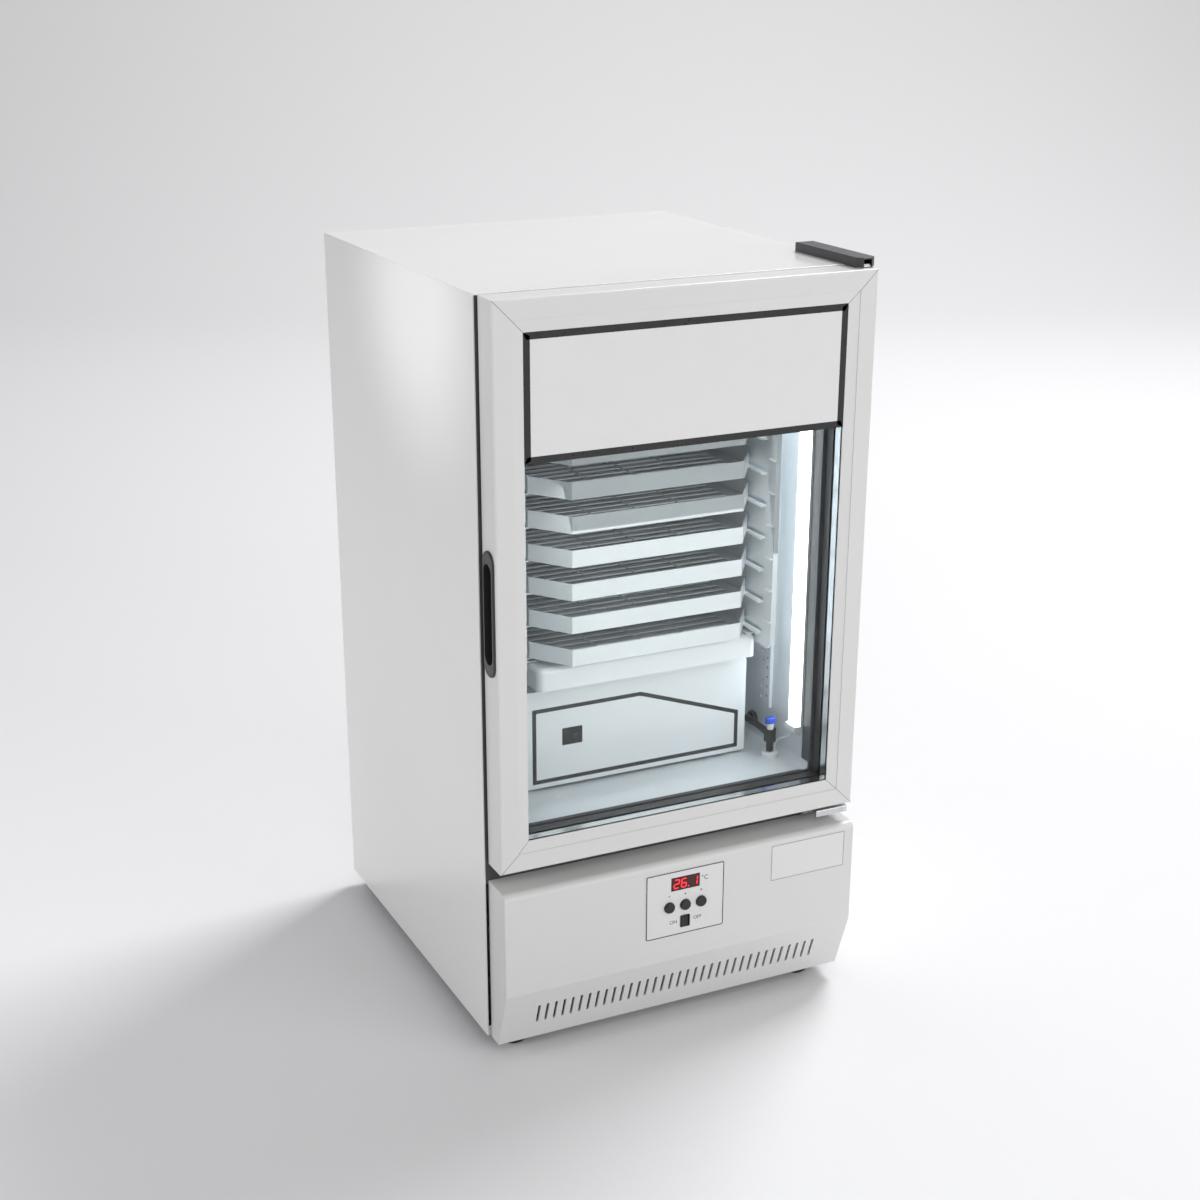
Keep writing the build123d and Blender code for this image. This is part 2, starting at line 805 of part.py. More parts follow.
# finned condenser behind the fascia's vents, with its fan bracket
cond_x = (-190.0, -30.0)
cond_front = front_y + 25.0
cond_depth = 44.0
cond_height = 170.0
cond_bottom = base_z + pan_thickness
cond_fins = 20
cond_rows = 6
cond_step = cond_height / cond_rows
cond_mid_x = sum(cond_x) / 2
cond_width = cond_x[1] - cond_x[0]
cond_mid_y = cond_front + cond_depth / 2
shroud_sheet = 1.5
shroud_depth = 30.0
cooling_fan_radius = 66.0
cooling_fan_depth = 20.0
cooling_fan_hub = 18.0
cooling_motor_radius = 22.0
cooling_gap = 4.0
cond_strap = 14.0
cond_back = cond_front + cond_depth
cond_mid_z = cond_bottom + cond_height / 2
fan_motor_length = 26.0
with BuildPart() as condenser:
    with BuildSketch(Plane.XY.offset(cond_bottom)):
        with Locations((cond_mid_x, cond_mid_y)):
            with GridLocations((cond_width - fin_gauge) / (cond_fins - 1), 0, cond_fins, 1):
                Rectangle(fin_gauge, cond_depth)
    extrude(amount=cond_height)
    with BuildSketch(Plane.YZ.offset(cond_x[0])):
        with Locations((cond_mid_y, cond_mid_z)):
            with GridLocations(0, cond_step, 1, cond_rows):
                Rectangle(cond_depth - 2 * tube_margin, tube_gauge)
    extrude(amount=cond_width)
    # shroud plate with the fan's opening, standing off the fins on folded sides
    with BuildSketch(Plane.XZ.offset(-cond_back)):
        with Locations((cond_mid_x, cond_mid_z)):
            Rectangle(cond_width, cond_height)
            inner_height = cond_height - 2 * shroud_sheet
            Rectangle(cond_width - 2 * shroud_sheet, inner_height, mode=Mode.SUBTRACT)
    extrude(amount=-shroud_depth)
    with BuildSketch(Plane.XZ.offset(-(cond_back + shroud_depth))):
        with Locations((cond_mid_x, cond_mid_z)):
            Rectangle(cond_width, cond_height)
            Circle(cooling_fan_radius + cooling_gap, mode=Mode.SUBTRACT)
            Rectangle(cond_width, cond_strap)
    extrude(amount=-shroud_sheet)
    # fan motor behind the strap, its shaft towards the fins
    with BuildSketch(Plane.XZ.offset(-(cond_back + shroud_depth + shroud_sheet))):
        with Locations((cond_mid_x, cond_mid_z)):
            Circle(cooling_motor_radius)
    extrude(amount=-fan_motor_length)
    with BuildSketch(Plane.XZ.offset(-(cond_back + shroud_depth))):
        with Locations((cond_mid_x, cond_mid_z)):
            Circle(fan_shaft)
    extrude(amount=cooling_fan_depth - shaft_setback)
save(condenser, "condenser")

cooling_fan_y = cond_back + shroud_depth - cooling_fan_depth - 1.0
cooling_fan_centre = (cond_mid_x, cooling_fan_y, cond_mid_z)
save(fan(cooling_fan_centre, cooling_fan_radius, cooling_fan_hub, cooling_fan_depth), "condenser_fan")

# ---------------------------------------------------------------- fascia and controls

fascia_half = half_width - fascia_inset
fascia_y = front_y - fascia_depth
fascia_foot_y = front_y - fascia_foot
fascia_bottom_z = base_z - fascia_drop
bend_z = base_z + fascia_bend
fascia_top_z = base_z + fascia_top
plate_front = fascia_y - plate_thickness
button_front = plate_front - button_proud
display_z = base_z + display_level
button_z = base_z + button_level
rocker_z = base_z + rocker_level
window_play = 0.2
button_bore = button_radius + button_clearance
switch_cut_width = rocker_width - 0.6
switch_cut_height = rocker_height - 0.6


def control_openings():
    """Display window, three button holes and the switch opening, seen from the front."""
    with Locations((control_x, display_z)):
        Rectangle(display_width + 2 * window_play, display_height + 2 * window_play)
    with Locations((control_x, button_z)):
        with GridLocations(button_pitch, 0, 3, 1):
            Circle(button_bore)
    with Locations((control_x, rocker_z)):
        Rectangle(switch_cut_width, switch_cut_height)


with BuildPart() as fascia:
    with BuildSketch(Plane.YZ.offset(-fascia_half)):
        with BuildLine():
            Polyline(
                (front_y, fascia_top_z),
                (fascia_y, fascia_top_z),
                (fascia_y, bend_z),
                (fascia_foot_y, fascia_bottom_z),
                (front_y, fascia_bottom_z),
                close=True,
            )
        make_face()
    extrude(amount=2 * fascia_half)
    front_edges = fascia.edges().filter_by(Axis.X).group_by(Axis.Y)[0].sort_by(Axis.Z)
    fillet(front_edges[-1], radius=fascia_top_radius)
    front_edges = fascia.edges().filter_by(Axis.X).group_by(Axis.Y)[0].sort_by(Axis.Z)
    fillet(front_edges[0], radius=fascia_bend_radius)
    offset(amount=-fascia_wall, openings=fascia.faces().sort_by(Axis.Y)[-1])
    # air slots up the sloping face
    slope_normal = Vector(0, fascia_bottom_z - bend_z, fascia_y - fascia_foot_y).normalized()
    slope_y = (fascia_y + fascia_foot_y) / 2
    slope_z = (bend_z + fascia_bottom_z) / 2
    with BuildSketch(Plane(origin=(0, slope_y, slope_z), x_dir=(1, 0, 0), z_dir=slope_normal)):
        with GridLocations(vent_pitch, 0, vent_count, 1):
            SlotOverall(vent_length, vent_width, rotation=90)
    extrude(amount=-2 * fascia_wall, mode=Mode.SUBTRACT)
    with BuildSketch(Plane.XZ.offset(-fascia_y)):
        control_openings()
    extrude(amount=-2 * fascia_wall, mode=Mode.SUBTRACT)
save(fascia, "fascia")

with BuildPart() as control_plate:
    with BuildSketch(Plane.XZ.offset(-fascia_y)):
        with Locations((control_x, base_z + plate_level)):
            RectangleRounded(plate_width, plate_height, plate_radius)
    extrude(amount=plate_thickness)
    with BuildSketch(Plane.XZ.offset(-fascia_y)):
        control_openings()
    extrude(amount=plate_thickness, mode=Mode.SUBTRACT)
save(control_plate, "control_plate")

# controller behind the fascia, with its display lens and the switch body
controller_back = fascia_y + fascia_wall
controller_z = (rocker_z - controller_margin, display_z + controller_margin)
controller_x = (control_x - controller_half, control_x + controller_half)
rim_recess = slide_clearance + rim_thickness + button_travel + slide_clearance
pivot_y = plate_front + pivot_depth
with BuildPart() as controller:
    block(controller_x, (controller_back, controller_back + controller_depth), controller_z)
    with BuildSketch(Plane.XZ.offset(-controller_back)):
        with Locations((control_x, display_z)):
            Rectangle(display_width, display_height)
    extrude(amount=fascia_wall + plate_thickness - 0.2)
    with BuildSketch(Plane.XZ.offset(-controller_back)):
        with Locations((control_x, rocker_z)):
            Rectangle(switch_cut_width - window_play, switch_cut_height - window_play)
    extrude(amount=fascia_wall + plate_thickness)
    with BuildSketch(Plane.XZ.offset(-plate_front)):
        with Locations((control_x, rocker_z)):
            RectangleRounded(rocker_width, rocker_height, 1.0)
    extrude(amount=bezel_proud)
    # wells for the buttons' rims
    with BuildSketch(Plane.XZ.offset(-controller_back)):
        with Locations((control_x, button_z)):
            with GridLocations(button_pitch, 0, 3, 1):
                Circle(button_radius + rim_width + button_clearance)
    extrude(amount=-rim_recess, mode=Mode.SUBTRACT)
    # well for the rocker, with a bore for its trunnions
    with BuildSketch(Plane.XZ.offset(-(plate_front - bezel_proud))):
        with Locations((control_x, rocker_z)):
            Rectangle(rocker_width - 2 * bezel_wall, rocker_height - 2 * bezel_wall)
    extrude(amount=-(bezel_proud + pivot_depth + rocker_well), mode=Mode.SUBTRACT)
    trunnion_bore = switch_cut_height / 2 - window_play / 2
    with BuildSketch(Plane.XY.offset(rocker_z)):
        with Locations((control_x, pivot_y)):
            Circle(trunnion_radius + running_clearance)
    extrude(amount=trunnion_bore, both=True, mode=Mode.SUBTRACT)
save(controller, "controller")

for index in range(3):
    button_x = control_x + (index - 1) * button_pitch
    rim_front = controller_back + slide_clearance
    with BuildPart() as button:
        with BuildSketch(Plane.XZ.offset(-button_front)):
            with Locations((button_x, button_z)):
                Circle(button_radius)
        extrude(amount=-(rim_front + rim_thickness - button_front))
        fillet(button.edges().group_by(Axis.Y)[0], radius=1.2)
        with BuildSketch(Plane.XZ.offset(-rim_front)):
            with Locations((button_x, button_z)):
                Circle(button_radius + rim_width)
        extrude(amount=-rim_thickness)
    save(button, f"button_{index + 1}")

# rocker, drawn about its pivot and stored with its left side pressed
rocker_tall = rocker_height - 2 * bezel_wall - 2 * window_play
rocker_tilt = math.radians(-rocker_swing / 2)
rocker_plane = Plane(
    origin=(control_x, pivot_y, rocker_z),
    x_dir=(math.cos(rocker_tilt), math.sin(rocker_tilt), 0),
    z_dir=(0, 0, 1),
)
with BuildPart() as rocker:
    with BuildSketch(rocker_plane):
        with BuildLine():
            Polyline(
                (-crest_x, -crest_y),
                (0, -valley_y),
                (crest_x, -crest_y),
                (waist_x, 0),
                (tail_x, tail_y),
                (-tail_x, tail_y),
                (-waist_x, 0),
                close=True,
            )
        make_face()
    extrude(amount=rocker_tall / 2, both=True)
    with BuildSketch(rocker_plane):
        Circle(trunnion_radius)
    extrude(amount=trunnion_bore - window_play / 2, both=True)
save(rocker, "rocker")

# ---------------------------------------------------------------- hinges

door_half = half_width - door_inset
door_z = base_z + door_bottom
door_top_z = top_z - door_top_gap
door_back = front_y - door_gap
door_front = door_back - door_thickness
hinge_x = door_half - hinge_inset
hinge_y = door_front + door_thickness / 2
bore_depth = pin_length + 1.0
cover_x = (hinge_x - cover_width / 2 + cover_shift, hinge_x + cover_width / 2 + cover_shift)
cover_front = hinge_y - cover_nose
plate_x = (cover_x[0] + cover_wall + window_play, cover_x[1] - cover_wall - window_play)
plate_y = (cover_front + cover_wall + window_play, front_y + cover_back - cover_wall - window_play)
with BuildPart() as upper_hinge_plate:
    block(plate_x, plate_y, (top_z, top_z + hinge_plate))
    nose_edges = upper_hinge_plate.edges().filter_by(Axis.Z).group_by(Axis.Y)[0]
    chamfer(nose_edges, length=cover_chamfer)
    with BuildSketch(Plane.XY.offset(top_z)):
        with Locations((hinge_x, hinge_y)):
            Circle(pin_radius)
    extrude(amount=-(door_top_gap + pin_length))
save(upper_hinge_plate, "upper_hinge_plate")

with BuildPart() as upper_hinge_cover:
    block(cover_x, (cover_front, front_y + cover_back), (top_z, top_z + cover_height))
    chamfer(upper_hinge_cover.edges().filter_by(Axis.Z).group_by(Axis.Y)[0], length=cover_chamfer)
    fillet(upper_hinge_cover.faces().sort_by(Axis.Z)[-1].edges(), radius=0.8)
    offset(amount=-cover_wall, openings=upper_hinge_cover.faces().sort_by(Axis.Z)[0])
    # open nose through which the hinge plate shows
    with BuildSketch(Plane.XZ.offset(-cover_front)):
        with Locations((sum(cover_x) / 2, top_z + cover_height / 2 - cover_wall / 2)):
            Rectangle(cover_width - 2 * cover_chamfer - 1.0, cover_height - cover_wall)
    extrude(amount=-cover_wall, mode=Mode.SUBTRACT)
save(upper_hinge_cover, "upper_hinge_cover")

bracket_top = door_z - collar_height_gap
bracket_x = (hinge_x + bracket_right - bracket_width, hinge_x + bracket_right)
bracket_front = front_y - bracket_reach
with BuildPart() as lower_hinge_bracket:
    with BuildSketch(Plane.YZ.offset(bracket_x[0])):
        with BuildLine():
            Polyline(
                (front_y, bracket_top),
                (bracket_front, bracket_top),
                (bracket_front, bracket_top - bracket_lip),
                (bracket_front + hinge_plate, bracket_top - bracket_lip),
                (bracket_front + hinge_plate, bracket_top - hinge_plate),
                (front_y - hinge_plate, bracket_top - hinge_plate),
                (front_y - hinge_plate, bracket_top - bracket_flange),
                (front_y, bracket_top - bracket_flange),
                close=True,
            )
        make_face()
    extrude(amount=bracket_width)
    nose_edges = lower_hinge_bracket.edges().filter_by(Axis.X).group_by(Axis.Y)[0]
    fillet(nose_edges.sort_by(Axis.Z)[-1], radius=1.5)
    with BuildSketch(Plane.XY.offset(bracket_top)):
        with Locations((hinge_x, hinge_y)):
            Circle(collar_radius)
    extrude(amount=collar_height_gap - slide_clearance)
    with BuildSketch(Plane.XY.offset(bracket_top)):
        with Locations((hinge_x, hinge_y)):
            Circle(pin_radius)
    extrude(amount=collar_height_gap + pin_length)
save(lower_hinge_bracket, "lower_hinge_bracket")

# ---------------------------------------------------------------- door

opening_half = door_half - stile
opening_bottom = door_z + stile
opening_top = door_top_z - stile
door_middle_z = (door_z + door_top_z) / 2
lip_back = band_step + inner_slope + lip_thickness
inner_band = stile - flat_band
handle_z = base_z + handle_height

# section of the frame: (out from the glazed opening, back from the front face)
frame_section = [
    (stile, 0),
    (stile, door_thickness),
    (seal_inset + seal_width, door_thickness),
    (seal_inset + seal_width, door_thickness - seal_groove),
    (seal_inset, door_thickness - seal_groove),
    (seal_inset, door_thickness),
    (rebate, door_thickness),
    (rebate, lip_back),
    (0, lip_back),
    (0, lip_back - lip_thickness),
    (inner_band, band_step),
    (inner_band, 0),
]


def hinge_cuts():
    """Bevel of the rear edge that swings past the cabinet, and the two pin bores."""
    with BuildSketch(Plane.XY.offset(door_z)) as bevel:
        with BuildLine():
            Polyline(
                (door_half - hinge_edge_chamfer, door_back),
                (door_half, door_back),
                (door_half, door_back - hinge_edge_chamfer),
                close=True,
            )
        make_face()
    extrude(bevel.sketch, amount=door_top_z - door_z, mode=Mode.SUBTRACT)
    for level, direction in ((door_z, 1), (door_top_z, -1)):
        with BuildSketch(Plane.XY.offset(level)) as pin_bore:
            with Locations((hinge_x, hinge_y)):
                Circle(pin_radius + pin_clearance)
        extrude(pin_bore.sketch, amount=direction * bore_depth, mode=Mode.SUBTRACT)


def frame_member(across, up):
    """Mitred side of the frame; (across, up) points to it from the middle of the door."""
    with BuildPart() as member:
        if across:
            outline = [(across * (opening_half + u), door_front + v) for u, v in frame_section]
            plane, length, run, rise = Plane.XY.offset(door_z), door_top_z - door_z, Axis.Z, Axis.X
        else:
            edge = opening_top if up > 0 else opening_bottom
            outline = [(door_front + v, edge + up * u) for u, v in frame_section]
            plane, length, run, rise = Plane.YZ.offset(-door_half), 2 * door_half, Axis.X, Axis.Z
        with BuildSketch(plane):
            with BuildLine():
                Polyline(*outline, close=True)
            make_face()
        extrude(amount=length)
        front_edges = member.edges().filter_by(run).group_by(Axis.Y)[0].sort_by(rise)
        fillet(front_edges[-1 if across + up > 0 else 0], radius=front_edge_radius)
        for end in (-1, 1):
            x_sign = across or end
            z_sign = up or end
            corner_z = door_top_z if z_sign > 0 else door_z
            normal = (across or -end, 0, up or -end)
            corner = Plane(origin=(x_sign * door_half, door_front, corner_z), z_dir=normal)
            split(bisect_by=corner, keep=Keep.TOP)
        if across >= 0:
            hinge_cuts()
        if across < 0:
            with BuildSketch(Plane.YZ.offset(-door_half)):
                with Locations((hinge_y, handle_z)):
                    SlotOverall(
                        slot_length + 2 * (cup_wall + window_play),
                        slot_width + 2 * (cup_wall + window_play),
                        rotation=90,
                    )
            extrude(amount=cup_depth + cup_wall + window_play, mode=Mode.SUBTRACT)
    return member


sides = {"left": (-1, 0), "right": (1, 0), "top": (0, 1), "bottom": (0, -1)}
for name, (across, up) in sides.items():
    save(frame_member(across, up), f"door_frame_{name}")

# flush handle: a proud bezel round a finger cup
with BuildPart() as handle:
    with BuildSketch(Plane.YZ.offset(-door_half)):
        with Locations((hinge_y, handle_z)):
            SlotOverall(handle_length, handle_width, rotation=90)
    extrude(amount=-handle_proud)
    fillet(handle.faces().sort_by(Axis.X)[0].edges(), radius=1.2)
    with BuildSketch(Plane.YZ.offset(-door_half)):
        with Locations((hinge_y, handle_z)):
            SlotOverall(slot_length + 2 * cup_wall, slot_width + 2 * cup_wall, rotation=90)
    extrude(amount=cup_depth + cup_wall)
    with BuildSketch(Plane.YZ.offset(-door_half - handle_proud)):
        with Locations((hinge_y, handle_z)):
            SlotOverall(slot_length, slot_width, rotation=90)
    extrude(amount=handle_proud + cup_depth, mode=Mode.SUBTRACT)
save(handle, "handle")

glass_half = opening_half + rebate - glass_play
glass_height = opening_top - opening_bottom + 2 * (rebate - glass_play)
outer_pane_y = door_front + lip_back
spacer_y = outer_pane_y + glass
inner_pane_y = spacer_y + glass_space
inner_frame_y = inner_pane_y + glass


def door_ring(inner, outer, y, depth):
    """Rectangular ring round the glazing, between two distances out from the opening."""
    height = opening_top - opening_bottom
    with BuildPart() as ring:
        with BuildSketch(Plane.XZ.offset(-y)):
            with Locations((0, door_middle_z)):
                Rectangle(2 * (opening_half + outer), height + 2 * outer)
                Rectangle(2 * (opening_half + inner), height + 2 * inner, mode=Mode.SUBTRACT)
        extrude(amount=-depth)
    return ring


with BuildPart() as glass_panes:
    for y in (outer_pane_y, inner_pane_y):
        with BuildSketch(Plane.XZ.offset(-y)):
            with Locations((0, door_middle_z)):
                Rectangle(2 * glass_half, glass_height)
        extrude(amount=-glass)
save(glass_panes, "glass_panes")

save(door_ring(spacer_edge, rebate - glass_play, spacer_y, glass_space), "glass_spacer")
save(
    door_ring(0, rebate - glass_play, inner_frame_y, door_back - inner_frame_y),
    "inner_frame",
)
seal_y = door_back - seal_groove
save(
    door_ring(
        seal_inset + window_play,
        seal_inset + seal_width - window_play,
        seal_y,
        seal_groove + door_gap - seal_clearance,
    ),
    "door_gasket",
)

# printed header in front of the outer pane
with BuildPart() as header_panel:
    header_top = opening_top - window_play
    with BuildSketch(Plane.XZ.offset(-outer_pane_y)):
        with Locations((0, header_top - header_height / 2)):
            Rectangle(2 * (opening_half - window_play), header_height)
    extrude(amount=header_thickness)
save(header_panel, "header_panel")

# ---------------------------------------------------------------- shaker drive

housing_top = housing_bottom + housing_height
housing_y = (front_y + housing_front, front_y + housing_back)
shaft_y = front_y + drive_y
with BuildPart() as drive_housing:
    block((-housing_half, housing_half), housing_y, (housing_bottom, housing_top))
    fillet(drive_housing.edges().filter_by(Axis.Y).group_by(Axis.Z)[-1], radius=housing_radius)
    offset(amount=-housing_wall, openings=drive_housing.faces().sort_by(Axis.Z)[0])
    with BuildSketch(Plane.XY.offset(housing_top)):
        with Locations((0, shaft_y)):
            Circle(shaft_radius + 6)
    extrude(amount=-housing_wall, mode=Mode.SUBTRACT)
    # folded feet that carry the housing on its rubber pads
    for x in pad_xs:
        for y in pad_ys:
            pad_sign_x = math.copysign(1, x)
            pad_sign_y = 1 if y > sum(housing_y) / 2 else -1
            tab_x = sorted((x - pad_sign_x * drive_foot_radius, pad_sign_x * housing_half))
            tab_y = sorted(
                (y - pad_sign_y * drive_foot_radius, housing_y[1] if pad_sign_y > 0 else housing_y[0])
            )
            block(tab_x, tab_y, (housing_bottom, housing_bottom + housing_wall))
save(drive_housing, "drive_housing")

disc_z = housing_top + disc_gap
with BuildPart() as gear_motor:
    gearbox_top = housing_top - housing_wall
    with BuildSketch(Plane.XY.offset(gearbox_top)):
        with Locations((0, shaft_y)):
            RectangleRounded(gearbox_width, gearbox_depth, 6)
    extrude(amount=-gearbox_height)
    fillet(gear_motor.faces().sort_by(Axis.Z)[0].edges(), radius=3)
    with BuildSketch(Plane.XY.offset(gearbox_top - gearbox_height)):
        with Locations((0, shaft_y + motor_offset)):
            Circle(motor_can_radius)
    extrude(amount=-motor_can_length)
    fillet(gear_motor.edges().group_by(Axis.Z)[0], radius=2)
    with BuildSketch(Plane.XY.offset(gearbox_top)):
        with Locations((0, shaft_y)):
            Circle(shaft_radius)
    extrude(amount=disc_z + disc_thickness - 1.0 - gearbox_top)
save(gear_motor, "gear_motor")

# two guide rods on four stands
rod_z = base_z + rod_level
rod_ys = (shaft_y - rod_spacing / 2, shaft_y + rod_spacing / 2)
with BuildPart() as guide_rods:
    for y in rod_ys:
        with BuildSketch(Plane.YZ):
            with Locations((y, rod_z)):
                Circle(rod_radius)
        extrude(amount=rod_stand_x + rod_stand / 2 + 1.0, both=True)
        for side in (-1, 1):
            with BuildSketch(Plane.YZ.offset(side * rod_stand_x - rod_stand / 2)):
                with BuildLine():
                    Polyline(
                        (y - bearing_depth, housing_top),
                        (y + bearing_depth, housing_top),
                        (y + bearing_depth, housing_top + 4),
                        (y + bearing_depth / 2, rod_z - 3),
                        (y + bearing_depth / 2, rod_z + rod_radius + 3),
                        (y - bearing_depth / 2, rod_z + rod_radius + 3),
                        (y - bearing_depth / 2, rod_z - 3),
                        (y - bearing_depth, housing_top + 4),
                        close=True,
                    )
                make_face()
            extrude(amount=rod_stand)
save(guide_rods, "guide_rods")

crank_radius = stroke / 2
with BuildPart() as crank:
    with BuildSketch(Plane.XY.offset(disc_z)):
        with Locations((0, shaft_y)):
            Circle(disc_radius)
            Circle(shaft_radius + running_clearance, mode=Mode.SUBTRACT)
    extrude(amount=disc_thickness)
    with BuildSketch(Plane.XY.offset(disc_z + disc_thickness)):
        with Locations((0, shaft_y - crank_radius)):
            Circle(crank_pin_radius)
    extrude(amount=crank_pin_length)
save(crank, "crank")

# ---------------------------------------------------------------- carriage

deck_z = base_z + deck_level
deck_top = deck_z + deck_height
deck_under = deck_top - deck_sheet
with BuildPart() as deck:
    block((-deck_half, deck_half), (front_y + deck_front, front_y + deck_back), (deck_z, deck_top))
    fillet(deck.edges().filter_by(Axis.Z), radius=deck_corner)
    fillet(deck.faces().sort_by(Axis.Z)[-1].edges(), radius=deck_edge)
    offset(amount=-deck_sheet, openings=deck.faces().sort_by(Axis.Z)[0])
save(deck, "deck")

with BuildPart() as bearing_blocks:
    for y in rod_ys:
        for side in (-1, 1):
            block_x = (side * bearing_x - bearing_length / 2, side * bearing_x + bearing_length / 2)
            block(block_x, (y - bearing_depth / 2, y + bearing_depth / 2), (rod_z - 8, deck_under))
            with BuildSketch(Plane.YZ.offset(block_x[0])):
                with Locations((y, rod_z)):
                    Circle(rod_radius + running_clearance)
            extrude(amount=bearing_length, mode=Mode.SUBTRACT)
save(bearing_blocks, "bearing_blocks")

# yoke whose slot the crank pin drives; the slot lets an even carriage motion follow the turning pin
pin_lead = crank_radius * (math.sqrt(1 - (2 / math.pi) ** 2) - math.acos(2 / math.pi) * 2 / math.pi)
yoke_slot_half = crank_pin_radius + pin_lead + yoke_slack
yoke_bottom = disc_z + disc_thickness + yoke_gap
yoke_reach = crank_radius + crank_pin_radius + yoke_slack
with BuildPart() as yoke:
    block(
        (-yoke_slot_half - yoke_wall, yoke_slot_half + yoke_wall),
        (shaft_y - yoke_reach - yoke_wall, shaft_y + yoke_reach + yoke_wall),
        (yoke_bottom, deck_under),
    )
    block(
        (-yoke_slot_half, yoke_slot_half),
        (shaft_y - yoke_reach, shaft_y + yoke_reach),
        (yoke_bottom, deck_under - yoke_web),
        mode=Mode.SUBTRACT,
    )
save(yoke, "yoke")

# rack sides: folded sheets with lanced ledges for the trays
tray_z = base_z + tray_level
rack_z = base_z + rack_bottom
rack_top_z = base_z + rack_top
rack_y = (front_y + rack_front, front_y + rack_back)
ledge_front = front_y + window_front
ledge_back = front_y + rack_back - rack_margin


def rack_side(side):
    """Side sheet with an outward front flange, a foot flange, windows, ledges and stop tabs."""
    inner = side * rack_half
    outer = side * (rack_half + rack_sheet)
    with BuildPart() as sheet_side:
        block(sorted((inner, outer)), rack_y, (rack_z, rack_top_z))
        lower_front = sheet_side.edges().filter_by(Axis.X).group_by(Axis.Z)[0].sort_by(Axis.Y)[0]
        chamfer(lower_front, length=6.0)
        flange_x = sorted((inner, side * (rack_half + rack_flange)))
        block(flange_x, (rack_y[0], rack_y[0] + rack_sheet), (rack_z + 6.0, rack_top_z))
        foot_x = sorted((side * (rack_half - rack_foot), outer))
        block(foot_x, (ledge_front + 14, ledge_back), (deck_top, deck_top + rack_sheet))
        ledge_x = sorted((side * (rack_half - ledge_width), outer))
        for level in range(tray_count):
            ledge_top = tray_z + level * tray_pitch - slide_clearance
            window_z = (ledge_top, ledge_top + window_height)
            block(sorted((inner, outer)), (ledge_front, ledge_back), window_z, mode=Mode.SUBTRACT)
            block(ledge_x, (ledge_front, ledge_back), (ledge_top - rack_sheet, ledge_top))
            tab_z = ledge_top + tray_height - tab_drop
            tab_x = sorted((side * (rack_half - tab_reach), outer))
            block(tab_x, (rack_y[0], rack_y[0] + tab_length), (tab_z, tab_z + rack_sheet))
    return sheet_side


for side, name in ((-1, "rack_left"), (1, "rack_right")):
    save(rack_side(side), name)

# top plate between the rack sides and two straps across the back
brace_margin = 6.0
brace_hem = 12.0
strap_height = 22.0
strap_levels = (3, 5)
with BuildPart() as rack_brace:
    brace_y = (rack_y[0] + brace_margin, rack_y[1] - brace_margin)
    block((-rack_half, rack_half), brace_y, (rack_top_z - rack_sheet, rack_top_z))
    for side in (-1, 1):
        hem_x = sorted((side * rack_half, side * (rack_half - rack_sheet)))
        block(hem_x, brace_y, (rack_top_z - brace_hem, rack_top_z))
    for level in strap_levels:
        strap_z = tray_z + level * tray_pitch
        strap_x = (-rack_half - rack_sheet, rack_half + rack_sheet)
        block(strap_x, (rack_y[1], rack_y[1] + rack_sheet), (strap_z, strap_z + strap_height))
save(rack_brace, "rack_brace")

tray_outline = [
    (-tray_nose_half, front_y + tray_front),
    (tray_nose_half, front_y + tray_front),
    (tray_half, front_y + tray_shoulder),
    (tray_half, front_y + tray_back),
    (-tray_half, front_y + tray_back),
    (-tray_half, front_y + tray_shoulder),
]
slot_rows = int((tray_back - tray_front - slot_pitch) / slot_pitch)
nose_slope = (tray_half - tray_nose_half) / (tray_shoulder - tray_front)


def inward(start, end):
    """Unit vector to the left of a wall, which is inwards on the tray outline."""
    along = (Vector(*end) - Vector(*start)).normalized()
    return Vector(-along.Y, along.X)


def inner_corners(distance):
    """Corners of the tray outline moved inwards by a distance."""
    corners = []
    for before, corner, after in zip(
        tray_outline[-1:] + tray_outline[:-1], tray_outline, tray_outline[1:] + tray_outline[:1]
    ):
        first = inward(before, corner)
        second = inward(corner, after)
        corners.append(Vector(*corner) + (first + second) * (distance / (1 + first.dot(second))))
    return corners


